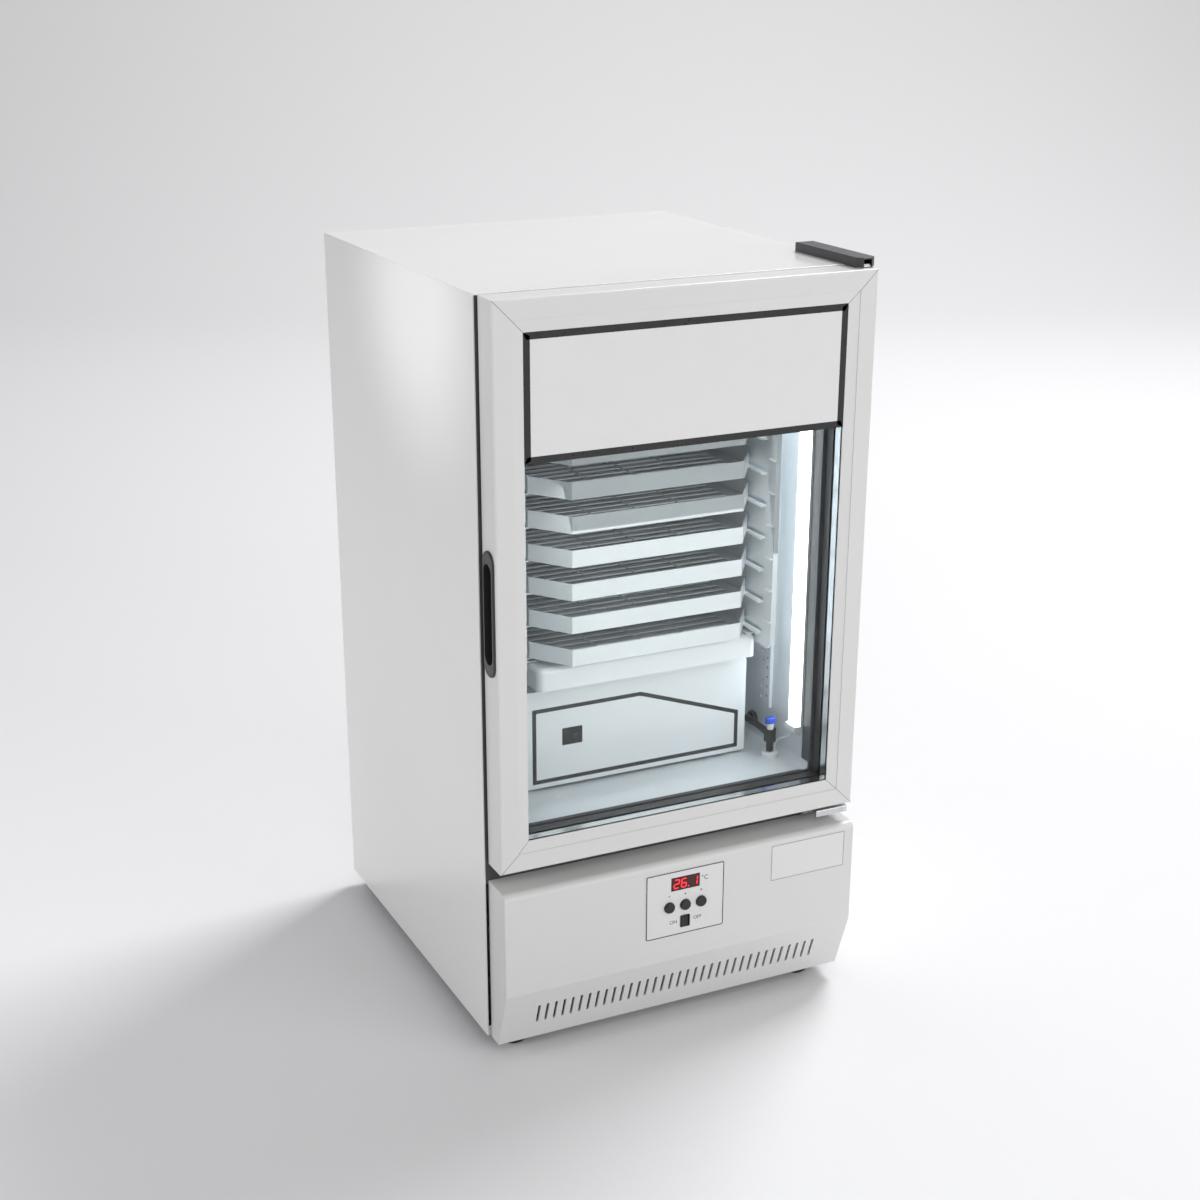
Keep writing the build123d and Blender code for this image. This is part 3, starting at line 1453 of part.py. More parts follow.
def tray(level):
    """Sheet tray: six upright walls with bevelled front corners round a slotted floor on three ties."""
    bottom = tray_z + level * tray_pitch
    outer = [Vector(*corner) for corner in tray_outline]
    inner = inner_corners(tray_sheet)
    with BuildPart() as pan:
        # walls, each a strip of sheet that stops half a joint short of its neighbours
        for index in range(len(outer)):
            following = (index + 1) % len(outer)
            along = (outer[following] - outer[index]).normalized()
            gap = along * (fold_joint / 2)
            wall = [outer[index] + gap, outer[following] - gap, inner[following] - gap, inner[index] + gap]
            with BuildSketch(Plane.XY.offset(bottom)):
                with BuildLine():
                    Polyline(*[(corner.X, corner.Y) for corner in wall], close=True)
                make_face()
            extrude(amount=tray_height)
        # laps folded from the front wall onto the two bevels
        for side in (-1, 1):
            nose = Vector(side * (tray_nose_half + fold_joint), front_y + tray_front + fold_joint)
            along = Vector(side * (tray_half - tray_nose_half), tray_shoulder - tray_front).normalized()
            outward = Vector(side * along.Y, -side * along.X) * lap_thickness
            lap = [nose, nose + along * lap_width, nose + along * lap_width + outward, nose + outward]
            with BuildSketch(Plane.XY.offset(bottom)):
                with BuildLine():
                    Polyline(*[(corner.X, corner.Y) for corner in lap], close=True)
                make_face()
            extrude(amount=tray_height)
        # floor inside the walls, its slots crossed by the ties
        floor_outline = [(corner.X, corner.Y) for corner in inner_corners(tray_sheet + fold_joint)]
        with BuildSketch(Plane.XY.offset(bottom)):
            with BuildLine():
                Polyline(*floor_outline, close=True)
            make_face()
            for row in range(slot_rows):
                behind = 0.75 * slot_pitch + row * slot_pitch
                bevel_half = tray_nose_half + behind * nose_slope - floor_slot_margin
                half = min(floor_slot_half, bevel_half)
                with Locations((0, front_y + tray_front + behind)):
                    Rectangle(2 * half, floor_slot_width, mode=Mode.SUBTRACT)
            with Locations((0, front_y + (tray_front + tray_back) / 2)):
                with GridLocations(tie_pitch, 0, tie_count, 1):
                    Rectangle(tie_width, tray_back - tray_front - slot_pitch)
        extrude(amount=tray_sheet)
    return pan


for level in range(tray_count):
    save(tray(level), f"tray_{level + 1}")
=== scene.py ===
import math
import bmesh
import bpy
import numpy as np
from mathutils import Matrix, Vector


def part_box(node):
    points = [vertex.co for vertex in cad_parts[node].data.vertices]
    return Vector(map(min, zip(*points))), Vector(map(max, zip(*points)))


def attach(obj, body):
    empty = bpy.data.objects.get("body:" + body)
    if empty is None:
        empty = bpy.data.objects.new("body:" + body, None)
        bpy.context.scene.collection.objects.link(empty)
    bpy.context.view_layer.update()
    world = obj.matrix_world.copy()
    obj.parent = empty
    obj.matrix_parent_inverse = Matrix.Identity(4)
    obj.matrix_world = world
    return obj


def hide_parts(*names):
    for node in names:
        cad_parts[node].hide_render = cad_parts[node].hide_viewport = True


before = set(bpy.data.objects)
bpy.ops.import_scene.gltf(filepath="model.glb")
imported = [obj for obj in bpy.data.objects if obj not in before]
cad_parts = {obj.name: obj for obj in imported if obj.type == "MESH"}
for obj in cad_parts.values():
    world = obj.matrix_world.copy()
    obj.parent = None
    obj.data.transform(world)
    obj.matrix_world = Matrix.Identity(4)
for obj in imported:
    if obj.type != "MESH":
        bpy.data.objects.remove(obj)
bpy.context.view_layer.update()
print("frame loaded")

# camera: where the photograph was taken from, in metres and degrees
cameraLook = {
    "place": (-0.9347, -1.9601, 1.1814),
    "azimuth": -25.265,
    "elevation": 20.763,
    "roll": -0.056,
    "lens": 58.0,
    "shiftX": 0.0147,
    "shiftY": 0.0563,
}


def addCamera():
    camera = bpy.data.objects.new("photoCamera", bpy.data.cameras.new("photoCamera"))
    bpy.context.collection.objects.link(camera)
    aim = Matrix.Rotation(math.radians(cameraLook["azimuth"]), 4, "Z")
    aim = aim @ Matrix.Rotation(math.radians(90 - cameraLook["elevation"]), 4, "X")
    aim = aim @ Matrix.Rotation(math.radians(cameraLook["roll"]), 4, "Z")
    camera.matrix_world = Matrix.Translation(cameraLook["place"]) @ aim
    camera.data.sensor_width = 36.0
    camera.data.lens = cameraLook["lens"]
    camera.data.shift_x = cameraLook["shiftX"]
    camera.data.shift_y = cameraLook["shiftY"]
    bpy.context.scene.camera = camera


addCamera()
print("camera placed")


# surfaces: every new piece is rings of points joined into a skin

def skin(rings, loop=False):
    # point j of ring i joins point j of ring i + 1
    # an open run's two end rings close in a fan to their middles
    rings = np.asarray(rings, dtype=float)
    count, around = rings.shape[:2]
    i, j = np.meshgrid(np.arange(count if loop else count - 1), np.arange(around), indexing="ij")
    following = (i + 1) % count
    beside = (j + 1) % around
    corners = [i * around + j, i * around + beside, following * around + beside, following * around + j]
    quads = np.stack(corners, axis=-1).reshape(-1, 4)
    points = rings.reshape(-1, 3)
    triangles = np.zeros((0, 3), dtype=int)
    if not loop:
        k = np.arange(around)
        turned = (k + 1) % around
        end = (count - 1) * around
        first = np.full(around, len(points))
        firstFan = np.stack([turned, k, first], axis=-1)
        lastFan = np.stack([end + k, end + turned, first + 1], axis=-1)
        triangles = np.vstack([firstFan, lastFan])
        points = np.vstack([points, rings[0].mean(axis=0), rings[-1].mean(axis=0)])
    return points, quads, triangles


def repeated(shape, offsets):
    # copy n of the shape is the shape moved by offset n
    points, quads, triangles = shape
    offsets = np.asarray(offsets, dtype=float)
    steps = np.arange(len(offsets)) * len(points)
    moved = (points[None] + offsets[:, None]).reshape(-1, 3)
    quads = (quads[None] + steps[:, None, None]).reshape(-1, 4)
    triangles = (triangles[None] + steps[:, None, None]).reshape(-1, 3)
    return moved, quads, triangles


def joined(shapes):
    starts = np.cumsum([0] + [len(shape[0]) for shape in shapes[:-1]])
    points = np.vstack([shape[0] for shape in shapes])
    quads = np.vstack([shape[1] + start for shape, start in zip(shapes, starts)])
    triangles = np.vstack([shape[2] + start for shape, start in zip(shapes, starts)])
    return points, quads, triangles


def addPiece(name, shape, body, material, smooth=False):
    points, quads, triangles = shape
    mesh = bpy.data.meshes.new(name)
    mesh.from_pydata(points.tolist(), [], quads.tolist() + triangles.tolist())
    work = bmesh.new()
    work.from_mesh(mesh)
    bmesh.ops.recalc_face_normals(work, faces=work.faces[:])
    work.to_mesh(mesh)
    work.free()
    return finishPiece(name, mesh, body, material, smooth)


def finishPiece(name, mesh, body, material, smooth=False):
    mesh.materials.clear()
    mesh.materials.append(material)
    mesh.polygons.foreach_set("use_smooth", [smooth] * len(mesh.polygons))
    piece = bpy.data.objects.new(name, mesh)
    bpy.context.collection.objects.link(piece)
    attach(piece, body)
    return piece


def onFace(outline, depth, face):
    # (u, v) of an outline becomes (u, depth, v) on a front or rear face and (depth, u, v) on a side wall
    outline = np.asarray(outline, dtype=float)
    level = np.full(len(outline), depth)
    across, up = outline[:, 0], outline[:, 1]
    columns = (across, level, up) if face == "front" else (level, across, up)
    return np.stack(columns, axis=-1)


def plateShape(outline, near, far, face="front"):
    # the outline drawn at two depths and closed at both
    return skin([onFace(outline, near, face), onFace(outline, far, face)])


def inset(outline, distance):
    # each corner moves along the sum of its two inward normals, longer at sharper corners
    outline = np.asarray(outline, dtype=float)
    edge = np.roll(outline, -1, axis=0) - outline
    edge /= np.linalg.norm(edge, axis=1, keepdims=True)
    normal = np.stack([-edge[:, 1], edge[:, 0]], axis=-1)
    before = np.roll(normal, 1, axis=0)
    spread = 1 + (normal * before).sum(axis=1, keepdims=True)
    return outline + (normal + before) * distance / spread


def lineShape(outline, width, near, far, face="front"):
    # a flat line of one width that runs round inside a closed outline
    inner = inset(outline, width)
    section = [onFace(outline, near, face), onFace(inner, near, face)]
    section += [onFace(inner, far, face), onFace(outline, far, face)]
    return skin(np.stack(section, axis=1), loop=True)


def roundedOutline(left, right, bottom, top, radius, steps=6):
    # a quarter circle about each corner's centre, counterclockwise from the lower right
    angle = np.linspace(0, math.pi / 2, steps + 1)
    centres = [(right, bottom, -1, 1), (right, top, -1, -1), (left, top, 1, -1), (left, bottom, 1, 1)]
    arcs = []
    for quarter, (x, z, inX, inZ) in enumerate(centres):
        turn = angle + (quarter - 1) * math.pi / 2
        across = x + inX * radius + radius * np.cos(turn)
        up = z + inZ * radius + radius * np.sin(turn)
        arcs.append(np.stack([across, up], axis=-1))
    return np.vstack(arcs)


def circleOutline(u, v, radius, sides=24):
    # radius times cosine and sine of equal turns about the centre
    turn = np.arange(sides) * 2 * math.pi / sides
    return np.stack([u + radius * np.cos(turn), v + radius * np.sin(turn)], axis=-1)


def domeShape(centre, radius, height, direction, sides=20, rows=6):
    # rings shrink as a quarter ellipse while they rise along the direction, over a short upright rim
    nearlyUpright, rim = 0.96, 0.3
    rise = np.linspace(0, math.pi / 2 * nearlyUpright, rows)
    radii = np.concatenate([[radius], radius * np.cos(rise)])
    heights = np.concatenate([[0], height * (rim + (1 - rim) * np.sin(rise))])
    turn = np.arange(sides) * 2 * math.pi / sides
    axis = np.asarray(direction, dtype=float)
    sideways = np.cross(axis, (0, 0, 1.0))
    upward = np.cross(sideways, axis)
    spokes = np.cos(turn)[:, None] * sideways + np.sin(turn)[:, None] * upward
    rings = radii[:, None, None] * spokes[None] + heights[:, None, None] * axis
    return skin(rings + np.asarray(centre, dtype=float))


def writtenMark(name, text, size, x, y, z, body, material):
    # letters are drawn flat, stood up to face the front and put in place within their own mesh
    curve = bpy.data.curves.new(name, "FONT")
    curve.body = text
    curve.size = size
    curve.extrude = letterThickness
    curve.align_x = "CENTER"
    curve.align_y = "CENTER"
    carrier = bpy.data.objects.new(name + "Letters", curve)
    bpy.context.collection.objects.link(carrier)
    bpy.context.view_layer.update()
    mesh = bpy.data.meshes.new_from_object(carrier)
    mesh.name = name
    bpy.data.objects.remove(carrier)
    bpy.data.curves.remove(curve)
    mesh.transform(Matrix.Translation((x, y, z)) @ Matrix.Rotation(math.pi / 2, 4, "X"))
    return finishPiece(name, mesh, body, material)


# finishes: one function for each kind of surface, all in object coordinates in metres
noiseSpan = (0.3, 0.7)  # most of a noise field lies between these


def newFinish(name, colour, roughness):
    material = bpy.data.materials.new(name)
    material.use_nodes = True
    nodes, links = material.node_tree.nodes, material.node_tree.links
    shader = nodes["Principled BSDF"]
    shader.inputs["Base Color"].default_value = (*colour, 1)
    shader.inputs["Roughness"].default_value = roughness
    return material, nodes, links, shader


def noiseField(nodes, links, scale, detail=3.0, stretch=(1, 1, 1)):
    place = nodes.new("ShaderNodeTexCoord")
    mapping = nodes.new("ShaderNodeMapping")
    mapping.inputs["Scale"].default_value = stretch
    noise = nodes.new("ShaderNodeTexNoise")
    noise.inputs["Scale"].default_value = scale
    noise.inputs["Detail"].default_value = detail
    links.new(place.outputs["Object"], mapping.inputs["Vector"])
    links.new(mapping.outputs["Vector"], noise.inputs["Vector"])
    return noise.outputs["Fac"]


def cellField(nodes, links, scale, feature="F1", output="Distance"):
    place = nodes.new("ShaderNodeTexCoord")
    cells = nodes.new("ShaderNodeTexVoronoi")
    cells.feature = feature
    cells.inputs["Scale"].default_value = scale
    links.new(place.outputs["Object"], cells.inputs["Vector"])
    return cells.outputs[output]


def tintBy(nodes, links, field, shader, colour, variation, low=noiseSpan[0], high=noiseSpan[1]):
    ramp = nodes.new("ShaderNodeValToRGB")
    ramp.color_ramp.elements[0].position = low
    ramp.color_ramp.elements[1].position = high
    ramp.color_ramp.elements[0].color = (*[channel * (1 - variation) for channel in colour], 1)
    ramp.color_ramp.elements[1].color = (*[min(1, channel * (1 + variation)) for channel in colour], 1)
    links.new(field, ramp.inputs["Fac"])
    links.new(ramp.outputs["Color"], shader.inputs["Base Color"])


def roughnessBy(nodes, links, field, shader, low, high):
    spread = nodes.new("ShaderNodeMapRange")
    spread.inputs["From Min"].default_value = noiseSpan[0]
    spread.inputs["From Max"].default_value = noiseSpan[1]
    spread.inputs["To Min"].default_value = low
    spread.inputs["To Max"].default_value = high
    links.new(field, spread.inputs["Value"])
    links.new(spread.outputs["Result"], shader.inputs["Roughness"])


def bumpBy(nodes, links, field, shader, height, strength=1.0):
    bump = nodes.new("ShaderNodeBump")
    bump.inputs["Distance"].default_value = height
    bump.inputs["Strength"].default_value = strength
    links.new(field, bump.inputs["Height"])
    links.new(bump.outputs["Normal"], shader.inputs["Normal"])


def paintFinish(name, look):
    # stoved paint: faint shade drift over the panel, orange peel a millimetre across, a clear gloss
    material, nodes, links, shader = newFinish(name, look["colour"], look["roughness"])
    drift = noiseField(nodes, links, look.get("driftScale", 4.0))
    tintBy(nodes, links, drift, shader, look["colour"], look.get("drift", 0.012))
    wipe = noiseField(nodes, links, scale=6.0, detail=2.0)
    shine = look["roughness"]
    roughnessBy(nodes, links, wipe, shader, low=shine * 0.96, high=shine * 1.04)
    peel = noiseField(nodes, links, look.get("peelScale", 700.0), detail=1.0)
    bumpBy(nodes, links, peel, shader, look.get("peelHeight", 0.000006), look.get("peelStrength", 0.25))
    shader.inputs["Coat Weight"].default_value = look.get("coat", 0.0)
    shader.inputs["Coat Roughness"].default_value = look.get("coatRoughness", 0.08)
    return material


def zincFinish(name, look):
    # hot zinc: spangles a few millimetres across that differ in shade, and fine rolling grain
    material, nodes, links, shader = newFinish(name, look["colour"], look["roughness"])
    shader.inputs["Metallic"].default_value = 1.0
    spangle = cellField(nodes, links, look.get("spangle", 260.0), output="Color")
    tintBy(nodes, links, spangle, shader, look["colour"], variation=0.08, low=0.1, high=0.9)
    wear = noiseField(nodes, links, scale=60.0, detail=5.0)
    shine = look["roughness"]
    roughnessBy(nodes, links, wear, shader, low=shine * 0.8, high=shine * 1.25)
    grain = noiseField(nodes, links, scale=900.0, detail=2.0)
    bumpBy(nodes, links, grain, shader, height=0.00001, strength=0.4)
    return material


def brushedFinish(name, look):
    # drawn or ground metal: grain stretched along one way
    material, nodes, links, shader = newFinish(name, look["colour"], look["roughness"])
    shader.inputs["Metallic"].default_value = 1.0
    shine = look["roughness"]
    grain = noiseField(nodes, links, look.get("grain", 500.0), stretch=look.get("stretch", (0.03, 1, 1)))
    tintBy(nodes, links, grain, shader, look["colour"], variation=0.05)
    roughnessBy(nodes, links, grain, shader, low=shine * 0.75, high=shine * 1.3)
    bumpBy(nodes, links, grain, shader, height=0.000008, strength=0.5)
    return material


def mouldedFinish(name, look):
    # spark-eroded mould grain with a slightly uneven shine
    material, nodes, links, shader = newFinish(name, look["colour"], look["roughness"])
    drift = noiseField(nodes, links, scale=35.0)
    tintBy(nodes, links, drift, shader, look["colour"], look.get("drift", 0.06))
    shine = look["roughness"]
    wear = noiseField(nodes, links, scale=120.0, detail=4.0)
    roughnessBy(nodes, links, wear, shader, low=shine * 0.85, high=shine * 1.15)
    grain = noiseField(nodes, links, look.get("grain", 1600.0), detail=2.0)
    bumpBy(nodes, links, grain, shader, look.get("grainHeight", 0.00003), look.get("grainStrength", 0.5))
    return material


def foamFinish(name, look):
    # cut foam: small open cells
    material, nodes, links, shader = newFinish(name, look["colour"], look["roughness"])
    cells = cellField(nodes, links, scale=900.0)
    tintBy(nodes, links, cells, shader, look["colour"], variation=0.12, low=0.1, high=0.9)
    bumpBy(nodes, links, cells, shader, height=0.0003, strength=0.8)
    return material


def finnedFinish(name, look):
    # rolled fins: fine ridges from front to back and a dusty shade drift
    material, nodes, links, shader = newFinish(name, look["colour"], look["roughness"])
    shader.inputs["Metallic"].default_value = 1.0
    dust = noiseField(nodes, links, scale=30.0, detail=5.0)
    tintBy(nodes, links, dust, shader, look["colour"], variation=0.12)
    place = nodes.new("ShaderNodeTexCoord")
    ridges = nodes.new("ShaderNodeTexWave")
    ridges.bands_direction = "Z"
    ridges.inputs["Scale"].default_value = 160.0
    links.new(place.outputs["Object"], ridges.inputs["Vector"])
    bumpBy(nodes, links, ridges.outputs["Fac"], shader, height=0.0002, strength=0.5)
    return material


def glassFinish(name, look):
    # clear float glass with a slight cool tint and faint wiping marks
    material, nodes, links, shader = newFinish(name, look["colour"], look["roughness"])
    shader.inputs["Transmission Weight"].default_value = 1.0
    shader.inputs["IOR"].default_value = look["ior"]
    shader.inputs["Specular IOR Level"].default_value = look["gloss"]
    wipe = noiseField(nodes, links, scale=14.0, detail=4.0, stretch=(1, 1, 0.3))
    roughnessBy(nodes, links, wipe, shader, low=0.0, high=look["roughness"])
    return material


def glowFinish(name, look):
    # a lit surface, a little uneven along its length
    material, nodes, links, shader = newFinish(name, look["colour"], look["roughness"])
    drift = noiseField(nodes, links, look.get("driftScale", 30.0), detail=2.0)
    tintBy(nodes, links, drift, shader, look["colour"], variation=0.03)
    shader.inputs["Emission Color"].default_value = (*look["glow"], 1)
    shader.inputs["Emission Strength"].default_value = look["strength"]
    return material


whitePaint = paintFinish("whitePaint", {"colour": (0.80, 0.80, 0.80), "roughness": 0.26, "coat": 0.35})
fasciaPaint = paintFinish("fasciaPaint", {"colour": (0.70, 0.70, 0.69), "roughness": 0.36, "coat": 0.12})
doorPaint = paintFinish("doorPaint", {"colour": (0.71, 0.71, 0.70), "roughness": 0.34, "coat": 0.15})
platePaint = paintFinish("platePaint", {"colour": (0.74, 0.74, 0.74), "roughness": 0.32, "peelStrength": 0.1})
rackPaint = paintFinish("rackPaint", {
    "colour": (0.70, 0.73, 0.75), "roughness": 0.30, "drift": 0.02, "coat": 0.1,
})
housingPaint = paintFinish("housingPaint", {"colour": (0.74, 0.76, 0.78), "roughness": 0.22, "coat": 0.3})
linerPlastic = mouldedFinish("linerPlastic", {
    "colour": (0.72, 0.76, 0.79), "roughness": 0.24, "drift": 0.012, "grainStrength": 0.12,
})
whitePlastic = mouldedFinish("whitePlastic", {
    "colour": (0.76, 0.77, 0.78), "roughness": 0.3, "drift": 0.02, "grainStrength": 0.2,
})
headerPrint = mouldedFinish("headerPrint", {
    "colour": (0.77, 0.77, 0.77), "roughness": 0.2, "drift": 0.008, "grainStrength": 0.05,
})
darkPlastic = mouldedFinish("darkPlastic", {"colour": (0.055, 0.055, 0.06), "roughness": 0.42})
bandPlastic = mouldedFinish("bandPlastic", {"colour": (0.06, 0.06, 0.065), "roughness": 0.5})
blackPlastic = mouldedFinish("blackPlastic", {"colour": (0.012, 0.012, 0.013), "roughness": 0.34})
handlePlastic = mouldedFinish("handlePlastic", {"colour": (0.03, 0.03, 0.032), "roughness": 0.4})
bluePlastic = mouldedFinish("bluePlastic", {
    "colour": (0.03, 0.10, 0.60), "roughness": 0.25, "grainStrength": 0.15,
})
blackRubber = mouldedFinish("blackRubber", {
    "colour": (0.014, 0.014, 0.014), "roughness": 0.55, "grain": 900.0,
})
canPaint = paintFinish("canPaint", {"colour": (0.012, 0.012, 0.013), "roughness": 0.3, "coat": 0.2})
motorPaint = paintFinish("motorPaint", {"colour": (0.10, 0.11, 0.12), "roughness": 0.4})
zincSteel = zincFinish("zincSteel", {"colour": (0.60, 0.61, 0.62), "roughness": 0.3})
groundSteel = brushedFinish("groundSteel", {"colour": (0.70, 0.71, 0.72), "roughness": 0.14})
spacerAlloy = brushedFinish("spacerAlloy", {
    "colour": (0.74, 0.75, 0.76), "roughness": 0.2, "stretch": (0.05, 1, 0.05),
})
finAlloy = finnedFinish("finAlloy", {"colour": (0.62, 0.63, 0.64), "roughness": 0.4})
foamBoard = foamFinish("foamBoard", {"colour": (0.72, 0.62, 0.36), "roughness": 0.9})
paneGlass = glassFinish("paneGlass", {
    "colour": (0.965, 0.985, 0.985), "roughness": 0.015, "ior": 1.16, "gloss": 0.15,
})
lampGlow = glowFinish("lampGlow", {
    "colour": (0.9, 0.92, 0.95), "roughness": 0.5, "glow": (0.93, 0.97, 1.0), "strength": 7.0,
})
blackPrint = mouldedFinish("blackPrint", {
    "colour": (0.014, 0.014, 0.015), "roughness": 0.3, "grainStrength": 0.05,
})
# dark grey for printed marks, and as painted shade for the shelf standards' holes
greyPrintAndHoleShade = mouldedFinish("greyPrintAndHoleShade", {
    "colour": (0.10, 0.10, 0.10), "roughness": 0.45, "grainStrength": 0.05,
})
seamShade = mouldedFinish("seamShade", {
    "colour": (0.16, 0.16, 0.16), "roughness": 0.6, "grainStrength": 0.05,
})
displayRed = mouldedFinish("displayRed", {
    "colour": (0.045, 0.002, 0.004), "roughness": 0.1, "grainStrength": 0.03,
})
digitGlow = glowFinish("digitGlow", {
    "colour": (0.9, 0.02, 0.03), "roughness": 0.5, "glow": (1.0, 0.012, 0.02), "strength": 1.6,
})
print("finishes made")

# which finish each CAD node wears
finishOf = {
    "left_side_panel": whitePaint, "right_side_panel": whitePaint, "top_panel": whitePaint,
    "rear_panel": whitePaint, "base_pan": zincSteel, "feet": blackRubber, "mains_inlet": blackPlastic,
    "inner_liner": linerPlastic, "insulation": foamBoard, "front_frame": bandPlastic,
    "shelf_standards": linerPlastic, "lamp_holder": whitePlastic, "lamp_diffuser": lampGlow,
    "lamp_lead": whitePlastic, "drain_hose": blackRubber, "floor_collar": whitePlastic,
    "valve_handle": bluePlastic, "air_duct": linerPlastic, "circulation_fan": whitePlastic,
    "evaporator": finAlloy, "compressor": canPaint, "condenser": finAlloy, "condenser_fan": blackPlastic,
    "fascia": fasciaPaint, "control_plate": platePaint, "controller": blackPlastic, "rocker": blackPlastic,
    "upper_hinge_plate": zincSteel, "upper_hinge_cover": darkPlastic, "lower_hinge_bracket": zincSteel,
    "door_frame_left": doorPaint, "door_frame_right": doorPaint, "door_frame_top": doorPaint,
    "door_frame_bottom": doorPaint, "handle": handlePlastic, "glass_panes": paneGlass,
    "glass_spacer": spacerAlloy, "inner_frame": blackPlastic, "door_gasket": blackRubber,
    "header_panel": headerPrint, "drive_housing": housingPaint, "gear_motor": motorPaint,
    "guide_rods": groundSteel, "crank": zincSteel, "deck": housingPaint, "bearing_blocks": groundSteel,
    "yoke": zincSteel, "rack_left": rackPaint, "rack_right": rackPaint, "rack_brace": rackPaint,
}
trayCount = sum(name.startswith("tray_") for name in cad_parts)
buttonCount = sum(name.startswith("button_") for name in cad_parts)
finishOf.update({f"tray_{number + 1}": rackPaint for number in range(trayCount)})
finishOf.update({f"button_{number + 1}": blackPlastic for number in range(buttonCount)})
for nodeName, finish in finishOf.items():
    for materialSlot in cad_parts[nodeName].material_slots:
        materialSlot.material = finish
print("CAD nodes dressed:", len(finishOf))

printThickness = 0.00015  # a printed or stuck-on line stands this far proud
letterThickness = 0.00006  # letters reach this far to each side of the face

# header: black line round the white panel behind the outer pane's edge
headerLook = {"lineWidth": 0.0073, "corner": 0.0003}


def addHeaderLine():
    low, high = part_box("header_panel")
    outline = roundedOutline(low[0], high[0], low[2], high[2], headerLook["corner"], steps=1)
    shape = lineShape(outline, headerLook["lineWidth"], low[1] - printThickness, low[1])
    addPiece("headerLine", shape, "door", blackPrint)


addHeaderLine()

# door: the fine seams where the frame's four sides meet
seamLook = {
    "width": 0.0005,
    "proud": 0.00006,
    "short": 0.0006,
    "flatBand": 0.021,
    "step": 0.0008,
    "slope": 0.0018,
}


def addMitreSeams():
    # each seam follows the frame's section from the outer corner to the opening, equally far across and up
    # half its width is shared equally between across and up, which is the width over the root of eight
    low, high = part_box("door_frame_left")
    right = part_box("door_frame_right")[1][0]
    stile = high[0] - low[0]
    band = stile - seamLook["flatBand"]
    outFrom = np.array([stile - seamLook["short"], band, band, 0.0])
    back = np.array([0.0, 0.0, seamLook["step"], seamLook["step"] + seamLook["slope"]])
    shapes = []
    for outX in (-1, 1):
        for outZ in (-1, 1):
            cornerX = (low[0] if outX < 0 else right) - outX * stile
            cornerZ = (low[2] if outZ < 0 else high[2]) - outZ * stile
            path = np.stack([cornerX + outX * outFrom, low[1] + back, cornerZ + outZ * outFrom], axis=-1)
            aside = np.array([outX, 0, -outZ]) * seamLook["width"] / math.sqrt(8)
            front = np.array([0, -seamLook["proud"], 0])
            corners = [path - aside + front, path + aside + front]
            corners += [path + aside - front, path - aside - front]
            shapes.append(skin(np.stack(corners, axis=1)))
    addPiece("mitreSeams", joined(shapes), "door", seamShade)


addMitreSeams()
print("door trimmed")

# control plate: thin line, display, marks
panelLook = {
    "lineWidth": 0.0010,
    "lineInset": 0.0002,
    "corner": 0.002,
    "windowWidth": 0.0354,
    "windowHeight": 0.0157,
    "windowRise": 0.0239,
    "windowCorner": 0.0004,
    "windowProud": 0.0001,
    "windowSunk": 0.0002,
    "digitHeight": 0.0102,
    "digitWidth": 0.0060,
    "digitLean": 0.08,
    "segment": 0.0013,
    "segmentGap": 0.15,
    "letterSize": 0.0060,
    "unitSize": 0.0078,
    "markSize": 0.0013,
    "markRise": 0.0066,
    "dotShare": 0.6,
    "unitGap": 0.0038,
    "unitLetterGap": 0.0048,
    "unitLetterRise": 0.0008,
    "ringRise": 0.0035,
    "ringRadius": 0.0010,
    "ringLine": 0.0005,
    "onPlace": (-0.0148, 0.0006),
    "offPlace": (0.0160, 0.0010),
    "digits": [("abged", -0.0112), ("afgecd", -0.0020), ("bc", 0.0118)],
    "pointPlace": 0.0038,
    "pointRadius": 0.0008,
}


def digitShape(segments, x, z, front):
    # each lit segment is a six-sided bar, and the whole digit leans to the right by its height
    width, height, thick = panelLook["digitWidth"], panelLook["digitHeight"], panelLook["segment"]
    half = height / 2
    level = {"a": (0, half, True), "g": (0, 0, True), "d": (0, -half, True)}
    side, rise = width / 2, half / 2
    upright = {"f": (-side, rise), "b": (side, rise), "e": (-side, -rise), "c": (side, -rise)}
    level.update({key: (u, v, False) for key, (u, v) in upright.items()})
    shapes = []
    for key in segments:
        u, v, flat = level[key]
        reach = (width if flat else half) / 2 - thick * panelLook["segmentGap"]
        tip = thick / 2
        lower = [(-reach, 0), (tip - reach, -tip), (reach - tip, -tip)]
        upper = [(reach, 0), (reach - tip, tip), (tip - reach, tip)]
        bar = np.array(lower + upper)
        bar = bar if flat else bar[:, ::-1]
        bar = bar + (u, v)
        bar[:, 0] += bar[:, 1] * panelLook["digitLean"]
        shapes.append(plateShape(bar + (x, z), front - printThickness, front))
    return joined(shapes)


